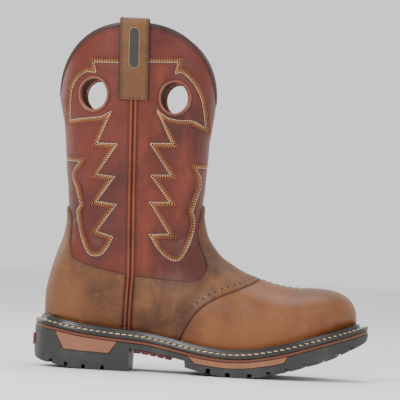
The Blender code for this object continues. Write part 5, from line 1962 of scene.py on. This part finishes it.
    def plaque(self, name: str, path: np.ndarray, side: int) -> None:
        """A plain stippled stadium set into a strap, with a raised rim."""
        width, rim = self.plaque_width, self.plaque_rim
        middle_z = LAST.shaft_top - self.plaque_drop
        straight = (self.plaque_length - width) / 2
        loop = []
        for a in turns(48):
            end = straight * (1 if math.cos(a) >= 0 else -1)
            z = middle_z + (end + width / 2 * math.cos(a))
            y = float(np.interp(z, path[:, 2], path[:, 1]))
            loop.append((float(LAST.seam_x(z)) + width / 2 * math.sin(a), y, z))
        loop = np.array(loop)
        out = np.array([0.0, side, 0.0])
        normals = np.repeat(out[None], len(loop), axis=0)
        away = unit(np.cross(tangents(loop), normals))
        turn = turns(8)
        profile = np.stack([rim / 2 * np.cos(turn), rim * 0.75 * np.sin(turn)], axis=1)
        points, faces = sweep(loop, away, normals, profile)
        obj = self.shop.piece(name + "_plaque_rim", points, faces, (FINISH.plaque_rim,))
        self.shop.fit(self.shop.outward(obj), "strap_leather")
        middle, rise = loop.mean(axis=0), out * self.plaque_rise
        rings = [middle + (loop - middle) * share + rise for share in (1.0, 0.75, 0.4)]
        points = np.vstack([*rings, middle[None] + rise])
        count = len(loop)
        faces = []
        for r in (0, count):
            for k in range(count):
                n = (k + 1) % count
                faces.append((r + k, r + n, r + count + n, r + count + k))
        faces += [(2 * count + k, 2 * count + (k + 1) % count, 3 * count) for k in range(count)]
        if side > 0:
            faces = [face[::-1] for face in faces]
        obj = self.shop.piece(name + "_plaque", points, faces, (FINISH.plaque,))
        self.shop.fit(obj, "binding_leather")

    def fancy_stitching(self) -> None:
        """Coloured rows of flame stitching on each quarter of the shaft."""
        for row, finish in enumerate((FINISH.beige, FINISH.tan, FINISH.orange, FINISH.rust)):
            lines = []
            for line in self.flame_lines(row):
                flat = self.side_view(resample(line, 1.1))
                for side in Side:
                    lines += self.project(flat, side.value)
            name = f"flame_stitches_{finish.name.split('_')[0]}"
            self.shop.grow(name, lines, Row.FLAME, finish)

    def project(self, flat: np.ndarray, side: int) -> list[Line]:
        """A side view line laid on the shaft, in runs that the side can see."""
        runs, points, normals = [], [], []
        for x, z in flat:
            hit = LAST.cast(float(x), float(z), side, 0.0001)
            if hit is not None and abs(hit[1][1]) > 0.12:
                points.append(hit[0])
                normals.append(hit[1])
            elif points:
                runs.append(Line(np.array(points), np.array(normals)))
                points, normals = [], []
        if points:
            runs.append(Line(np.array(points), np.array(normals)))
        return [run for run in runs if len(run.points) > 3]


@dataclass
class Sole:
    """Welt, midsole, tread unit, side panels, arch plate and footbed."""

    shop: Workshop
    midsole_thick: float = 0.0027
    midsole_inset: float = 0.0008
    welt_edge: float = 0.0040
    welt_bead: float = 0.0092
    bead_width: float = 0.0030
    tread_depth: float = 0.0044
    groove_width: float = 0.0056
    heel_groove_width: float = 0.0040
    channel_width: float = 0.0040
    channel_apart: float = 0.034
    groove_taper: float = 0.72
    fore_slant: float = 0.16
    heel_slant: float = -0.10
    inlay_proud: float = 0.0004
    inlay_depth: float = 0.0030
    rail_depth: float = 0.0080
    heel_panel_low: float = 0.53
    heel_panel_tilt: float = 0.4
    insole_thick: float = 0.0040
    below_floor: float = 0.01
    pocket_room: float = 0.0006
    pocket_grow: float = 0.00045
    welt_start: float = 0.0013
    welt_inset: float = 0.0005
    welt_low: float = 0.0006
    bead_drop: float = 0.0012
    ledge_start: float = 0.0016
    softening: float = 0.0003

    def build(self) -> None:
        """Builds every piece of the sole."""
        self.welt()
        self.midsole()
        self.tread()
        self.small_pieces()
        self.footbed()

    def stations(self, count: int, inset: float) -> list[float]:
        """Places along the sole, closer together towards its rounded ends."""
        fine = 0.0003
        end = LAST.length / 2 - inset - fine
        steps = [LAST.x_at(LAST.breast), LAST.x_at(LAST.arch_end)]
        xs = [-end * math.cos(a) for a in np.linspace(0, math.pi, count)]
        xs = [x for x in xs if min(abs(x - step) for step in steps) > 0.0008]
        return sorted(xs + [step + side * fine for step in steps for side in (-1, 1)])

    def slab(
        self,
        name: str,
        inset: float,
        count: int,
        top: Callable[[float], float],
        low: Callable[[float], float],
        finish: object,
        rounding: float = 0.0,
    ) -> bpy.types.Object:
        """A plate of the sole's outline between two heights.

        Args:
            name: the piece's name.
            inset: distance inside the outsole's outline.
            count: stations along it.
            top: height of its top at x.
            low: height of its bottom at x.
            finish: its finish.
            rounding: how far its side edges are rounded.

        Returns:
            The object.
        """
        xs = self.stations(count, inset)
        points: list[tuple[float, float, float]] = []
        for x in xs:
            high, deep = top(x), low(x)
            soft = min(rounding, (high - deep) * 0.3)
            for side in (-1, 1):
                y = LAST.half(x, side, inset)
                for inner, z in ((soft, high), (0.0, high - soft), (0.0, deep + soft), (soft, deep)):
                    points.append((x, y - side * inner, z))
        faces: list[tuple[int, ...]] = []
        order = (0, 1, 2, 3, 7, 6, 5, 4)
        for k in range(len(xs) - 1):
            a, b = 8 * k, 8 * k + 8
            for s in range(8):
                p, q = order[s], order[(s + 1) % 8]
                faces.append((a + p, a + q, b + q, b + p))
        last = 8 * (len(xs) - 1)
        faces += [order, tuple(last + p for p in reversed(order))]
        obj = self.shop.piece(name, np.array(points), faces, (finish,), sharp=40.0)
        return self.shop.outward(obj)

    def welt(self) -> None:
        """Storm welt with its glossy bead and the cream stitches on its ledge."""
        lateral, medial = LAST.feather
        loop = resample(np.vstack([lateral, medial[::-1]]), 0.0022)[:-1]
        along = tangents(loop)
        out = np.stack([-along[:, 1], along[:, 0]], axis=1)
        if (out * (loop - loop.mean(axis=0))).sum() < 0:
            out = -out
        start, half = self.welt_start, self.bead_width / 2
        bead, ledge_z = start + self.bead_width, self.welt_edge
        rows, ledge = [], []
        for place, away in zip(loop, out):
            width = self.rim_distance(place, away) - self.welt_inset
            profile = [(start, self.welt_low), (start, self.welt_bead - 0.0010)]
            for a in np.linspace(math.pi, 0, 9):
                height = self.welt_bead - self.bead_drop + self.bead_drop * math.sin(a)
                profile.append((start + half * (1 + math.cos(a)), height))
            profile += [
                (bead + 0.0002, ledge_z + 0.0026),
                (bead + 0.0009, ledge_z + 0.0008),
                (bead + self.ledge_start, ledge_z + 0.0003),
                (width - 0.0007, ledge_z),
                (width - 0.0001, ledge_z - 0.0006),
                (width, ledge_z - 0.0016),
                (width, self.welt_low),
            ]
            for distance, height in profile:
                x, y = place + away * distance
                rows.append((x, y, float(LAST.seat(x)) + height))
            x, y = place + away * ((bead + self.ledge_start + width) / 2)
            ledge.append((x, y, float(LAST.seat(x)) + ledge_z + 0.00035))
        faces = ring_faces(len(loop), len(profile))
        obj = self.shop.piece("storm_welt", np.array(rows), faces, (FINISH.welt,), sharp=50.0)
        self.shop.outward(obj)
        self.shop.fit(obj, "black_rubber", "welt")
        up = np.repeat(np.array([[0.0, 0.0, 1.0]]), len(ledge), axis=0)
        self.shop.grow("welt_stitches", [Line(np.array(ledge), up).looped()], Row.WELT, FINISH.cream)

    def rim_distance(self, place: np.ndarray, away: np.ndarray) -> float:
        """Distance from a feather point straight out to the outsole's outline."""
        loop = np.vstack([LAST.sole[0], LAST.sole[1][-2:0:-1]])
        gap = loop - place
        ahead = gap @ away
        aside = np.abs(gap @ np.array([-away[1], away[0]]))
        aside[ahead < 0] = 1.0
        near = np.argsort(aside)[:2]
        return float(ahead[near].mean())

    def midsole(self) -> None:
        """Thin red-brown layer under the welt."""
        obj = self.slab(
            "midsole_layer",
            self.midsole_inset,
            150,
            lambda x: float(LAST.seat(x)),
            lambda x: float(LAST.seat(x)) - self.midsole_thick,
            FINISH.stripe,
            0.0004,
        )
        self.shop.fit(obj, "midsole_stripe", "midsole")

    def panel_top(self, x: float) -> float:
        """Top of the outsole and of its side panels."""
        return float(LAST.seat(x)) - self.midsole_thick - SOLE_GAP

    def blocks(self, name: str, boxes: list[list[tuple[float, float, float]]]) -> bpy.types.Object:
        """A cutter of separate eight-cornered blocks."""
        corners = [point for box in boxes for point in box]
        quads = ((0, 3, 2, 1), (4, 5, 6, 7), (0, 1, 5, 4), (1, 2, 6, 5), (2, 3, 7, 6), (3, 0, 4, 7))
        faces = [tuple(8 * k + q for q in quad) for k in range(len(boxes)) for quad in quads]
        data = bpy.data.meshes.new(name)
        data.from_pydata(corners, [], faces)
        return self.shop.outward(placed(name, data))

    def groove(self, x: float, low_y: float, high_y: float, width: float, shift: float) -> list:
        """Corners of a groove across the tread, from one y to another."""
        root = LAST.tread(x) + self.tread_depth
        corners = []
        for z, grow in ((-self.below_floor, 1.0), (root, self.groove_taper)):
            half = width / 2 * grow
            corners += [
                (x - half, low_y, z),
                (x + half, low_y, z),
                (x + half + shift, high_y, z),
                (x - half + shift, high_y, z),
            ]
        return corners

    def cross_grooves(self) -> list[list]:
        """Slanted grooves from the sides, and short ones between the channels."""
        boxes = []
        inner = self.channel_apart / 2
        for shares, width, slant in (
            (FORE_GROOVES, self.groove_width, self.fore_slant),
            (HEEL_GROOVES, self.heel_groove_width, self.heel_slant),
        ):
            for share in shares:
                x = LAST.x_at(share)
                for side in (-1, 1):
                    edge = LAST.half(x, side) + side * 0.02
                    shift = slant * abs(edge - side * inner)
                    boxes.append(self.groove(x, edge, side * inner * 1.02, width, shift))
        for shares, width in (
            (FORE_GROOVES[:-1], self.groove_width),
            (HEEL_GROOVES, self.heel_groove_width),
        ):
            for first, second in zip(shares, shares[1:]):
                x = LAST.x_at((first + second) / 2)
                boxes.append(self.groove(x, -inner * 0.97, inner * 0.97, width, 0.0))
        return boxes

    def channels(self) -> list[list]:
        """The two long channels of heel and forepart, in short straight runs."""
        boxes = []
        half = self.channel_width / 2
        for shares in (FORE_GROOVES[:-1], HEEL_GROOVES):
            xs = np.linspace(LAST.x_at(shares[0]), LAST.x_at(shares[-1]), 3 * len(shares))
            for a, b in zip(xs, xs[1:]):
                for side in (-1, 1):
                    y = side * self.channel_apart / 2
                    corners = []
                    for low, grow in ((True, 1.0), (False, self.groove_taper)):
                        for x, s in ((a, -1), (b, -1), (b, 1), (a, 1)):
                            z = -self.below_floor if low else LAST.tread(float(x)) + self.tread_depth
                            corners.append((float(x), y + s * half * grow, z))
                    boxes.append(corners)
        return boxes

    def panel_box(
        self, panel: Panel, side: int, low: Callable[[float], float], out: float, deep: float, grow: float
    ) -> tuple[np.ndarray, list[tuple[int, ...]]]:
        """Points and faces of a side panel, or of the pocket that it sits in."""
        points = []
        steps = 28
        for u in np.linspace(0, 1, steps):
            spread = (2 * u - 1) * grow
            high_x = LAST.x_at(panel.top_back + u * (panel.top_front - panel.top_back)) + spread
            low_x = LAST.x_at(panel.low_back + u * (panel.low_front - panel.low_back)) + spread
            high = np.array([high_x, self.panel_top(high_x)])
            deep_point = np.array([low_x, low(low_x) - grow])
            if grow:
                high = high + (high - deep_point) * 0.25
            for (x, z), place in ((high, high_x), (deep_point, low_x)):
                edge = LAST.half(place, side)
                points.append((x, edge + side * out, z))
                points.append((x, edge - side * deep, z))
        faces: list[tuple[int, ...]] = []
        for k in range(steps - 1):
            a, b = 4 * k, 4 * k + 4
            for s, t in ((0, 1), (1, 3), (3, 2), (2, 0)):
                faces.append((a + s, a + t, b + t, b + s))
        last = 4 * (steps - 1)
        faces += [(0, 1, 3, 2), (last + 2, last + 3, last + 1, last)]
        return np.array(points), faces

    def tread(self) -> None:
        """Lugged rubber unit with heel and arch, and the panels let into its sides."""
        body = self.slab("tread_unit", 0.0, 170, self.panel_top, LAST.tread, FINISH.tread, 0.0005)
        cutters = [
            self.blocks("cross_cut", self.cross_grooves()),
            self.blocks("channel_cut", self.channels()),
        ]
        lows = {
            "heel": lambda x: self.heel_panel_low * LAST.heel_height
            + self.heel_panel_tilt * (float(LAST.seat(x)) - LAST.heel_height),
            "forepart": lambda x: float(LAST.seat(x)) - self.rail_depth,
        }
        pocket_depth = self.inlay_depth + self.pocket_room
        for side in Side:
            for kind, panel in (("heel", HEEL_PANEL), ("forepart", FORE_PANEL)):
                name = f"{kind}_panel_{side.name.lower()}"
                fixed = (panel, side.value, lows[kind])
                points, faces = self.panel_box(*fixed, self.inlay_proud, self.inlay_depth, 0.0)
                obj = self.shop.piece(name, points, faces, (FINISH.inlay,), sharp=40.0)
                self.soften(self.shop.outward(obj))
                self.shop.fit(obj, "tan_rubber", f"{kind}_inlay_{side.name.lower()}")
                points, faces = self.panel_box(*fixed, FAR, pocket_depth, self.pocket_grow)
                pocket = self.shop.piece(name + "_pocket", points, faces, (FINISH.tread,))
                cutters.append(self.shop.outward(pocket))
        for cutter in cutters:
            cut = body.modifiers.new(cutter.name, "BOOLEAN")
            cut.operation = "DIFFERENCE"
            cut.solver = "EXACT"
            cut.object = cutter
            cut.use_self = cutter.name == "channel_cut"
        data = self.shop.settled(body)
        body.modifiers.clear()
        body.data = data
        for cutter in cutters:
            bpy.data.objects.remove(cutter)
        data.shade_smooth()
        data.set_sharp_from_angle(angle=math.radians(32))
        self.shop.fit(body, "black_rubber", "outsole")

    def soften(self, obj: bpy.types.Object) -> None:
        """Bevels a piece's sharp edges."""
        bevel = obj.modifiers.new("soft_edges", "BEVEL")
        bevel.width = self.softening
        bevel.segments = 2
        bevel.limit_method = "ANGLE"
        bevel.angle_limit = math.radians(40)
        obj.data = self.shop.settled(obj)
        obj.modifiers.clear()

    def small_pieces(self) -> None:
        """Arch plate and the plain red plate on the heel, softened copies of their solids."""
        for node, name, finish, slot in (
            ("arch_insert", "arch_plate", FINISH.arch, "red_plastic"),
            ("heel_badge", "heel_plate", FINISH.badge, "badge_red"),
        ):
            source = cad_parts[node].data.copy()
            source.materials.clear()
            source.materials.append(self.shop.dress(finish))
            obj = placed(name, source)
            mesh = bmesh.new()
            mesh.from_mesh(source)
            bmesh.ops.remove_doubles(mesh, verts=mesh.verts[:], dist=1e-6)
            bmesh.ops.dissolve_limit(
                mesh, angle_limit=math.radians(1), verts=mesh.verts[:], edges=mesh.edges[:]
            )
            mesh.to_mesh(source)
            mesh.free()
            self.soften(obj)
            obj.data.shade_smooth()
            obj.data.set_sharp_from_angle(angle=math.radians(40))
            self.shop.fit(obj, slot, node)

    def footbed(self) -> None:
        """Crowned footbed inside the shoe."""
        inside = WALL + 2 * SOLE_GAP
        along, across = np.linspace(0.012, 0.988, 90), np.linspace(0, 1, 15)
        points, low = [], []
        for s in along:
            a, b = LAST.feather_at(s, -1), LAST.feather_at(s, 1)
            span = unit(b - a) * inside
            a, b = a + span, b - span
            for t in across:
                x, y = a + (b - a) * t
                base = float(LAST.seat(x)) + 2 * SOLE_GAP
                dish = 0.0014 * (2 * t - 1) ** 4
                edge = 0.0010 * np.clip(1 - min(t, 1 - t) / 0.02, 0, 1)
                points.append((x, y, base + self.insole_thick + dish - edge))
                low.append((x, y, base))
        faces = plate_faces(len(along), len(across))
        obj = self.shop.piece("footbed", np.array(points + low), faces, (FINISH.footbed,), sharp=50.0)
        self.shop.outward(obj)
        self.shop.fit(obj, "footbed", "insole")


@dataclass
class Studio:
    """Pale floor, soft lights and the camera."""

    distance: float = 3.4
    azimuth: float = 3.0
    roll: float = 3.0
    target: tuple[float, float, float] = (-0.0078, 0.0, 0.1607)
    frame_width: float = 0.371
    sensor: float = 36.0
    floor_half: float = 4.0
    floor_tone: float = 0.86
    floor_rough: float = 0.75
    world_strength: float = 1.05

    def build(self) -> None:
        """Sets up the floor, the world, the lights and the camera."""
        self.floor()
        self.world()
        self.lamps()
        self.camera()

    def floor(self) -> None:
        """A large plain pale floor."""
        data = bpy.data.meshes.new("floor")
        size = self.floor_half
        corners = [(-size, -size, 0.0), (size, -size, 0.0), (size, size, 0.0), (-size, size, 0.0)]
        data.from_pydata(corners, [], [(0, 1, 2, 3)])
        paint = bpy.data.materials.new("floor_paint")
        paint.use_nodes = True
        shader = paint.node_tree.nodes["Principled BSDF"]
        shader.inputs["Base Color"].default_value = (*[self.floor_tone] * 3, 1.0)
        shader.inputs["Roughness"].default_value = self.floor_rough
        data.materials.append(paint)
        placed("floor", data)

    def world(self) -> None:
        """Even white surroundings."""
        world = bpy.data.worlds.new("studio")
        bpy.context.scene.world = world
        world.use_nodes = True
        back = world.node_tree.nodes["Background"]
        back.inputs["Color"].default_value = (1.0, 1.0, 1.0, 1.0)
        back.inputs["Strength"].default_value = self.world_strength

    def lamps(self) -> None:
        """Soft area lights: a key from the upper left, a fill, a top light and a rim light."""
        middle = Vector((0.0, 0.0, 0.16))
        for name, place, size, power in (
            ("key", (-0.75, -1.25, 1.05), 0.6, 20.0),
            ("fill", (1.15, -1.05, 0.75), 0.9, 6.0),
            ("top", (0.1, 0.25, 1.5), 0.8, 9.0),
            ("rim", (-1.3, 0.9, 0.7), 0.6, 6.0),
        ):
            lamp = bpy.data.lights.new(name, "AREA")
            lamp.shape = "SQUARE"
            lamp.size = size
            lamp.energy = power
            obj = placed(name, lamp)
            obj.location = place
            obj.rotation_euler = (middle - Vector(place)).to_track_quat("-Z", "Y").to_euler()

    def camera(self) -> None:
        """The photograph's view, rolled so that the boot stands on the floor."""
        turn, roll = math.radians(self.azimuth), math.radians(self.roll)
        right = Vector((math.cos(turn), math.sin(turn), 0.0))
        up = Vector((0.0, 0.0, 1.0))
        back = right.cross(up)
        across = right * math.cos(roll) + up * math.sin(roll)
        above = up * math.cos(roll) - right * math.sin(roll)
        place = Vector(self.target) + back * self.distance
        view = bpy.data.cameras.new("camera")
        view.sensor_width = self.sensor
        view.lens = self.sensor * self.distance / self.frame_width
        view.clip_end = 50.0
        obj = placed("camera", view)
        rows = Matrix((across, above, back)).transposed().to_4x4()
        obj.matrix_world = Matrix.Translation(place) @ rows
        bpy.context.scene.camera = obj


def main() -> None:
    """Builds the studio and the boot."""
    logging.basicConfig(level=logging.INFO, format="%(message)s")
    Studio().build()
    shop = Workshop()
    Leatherwork(shop).build()
    Sole(shop).build()
    bpy.context.view_layer.update()


if __name__ == "__main__":
    main()
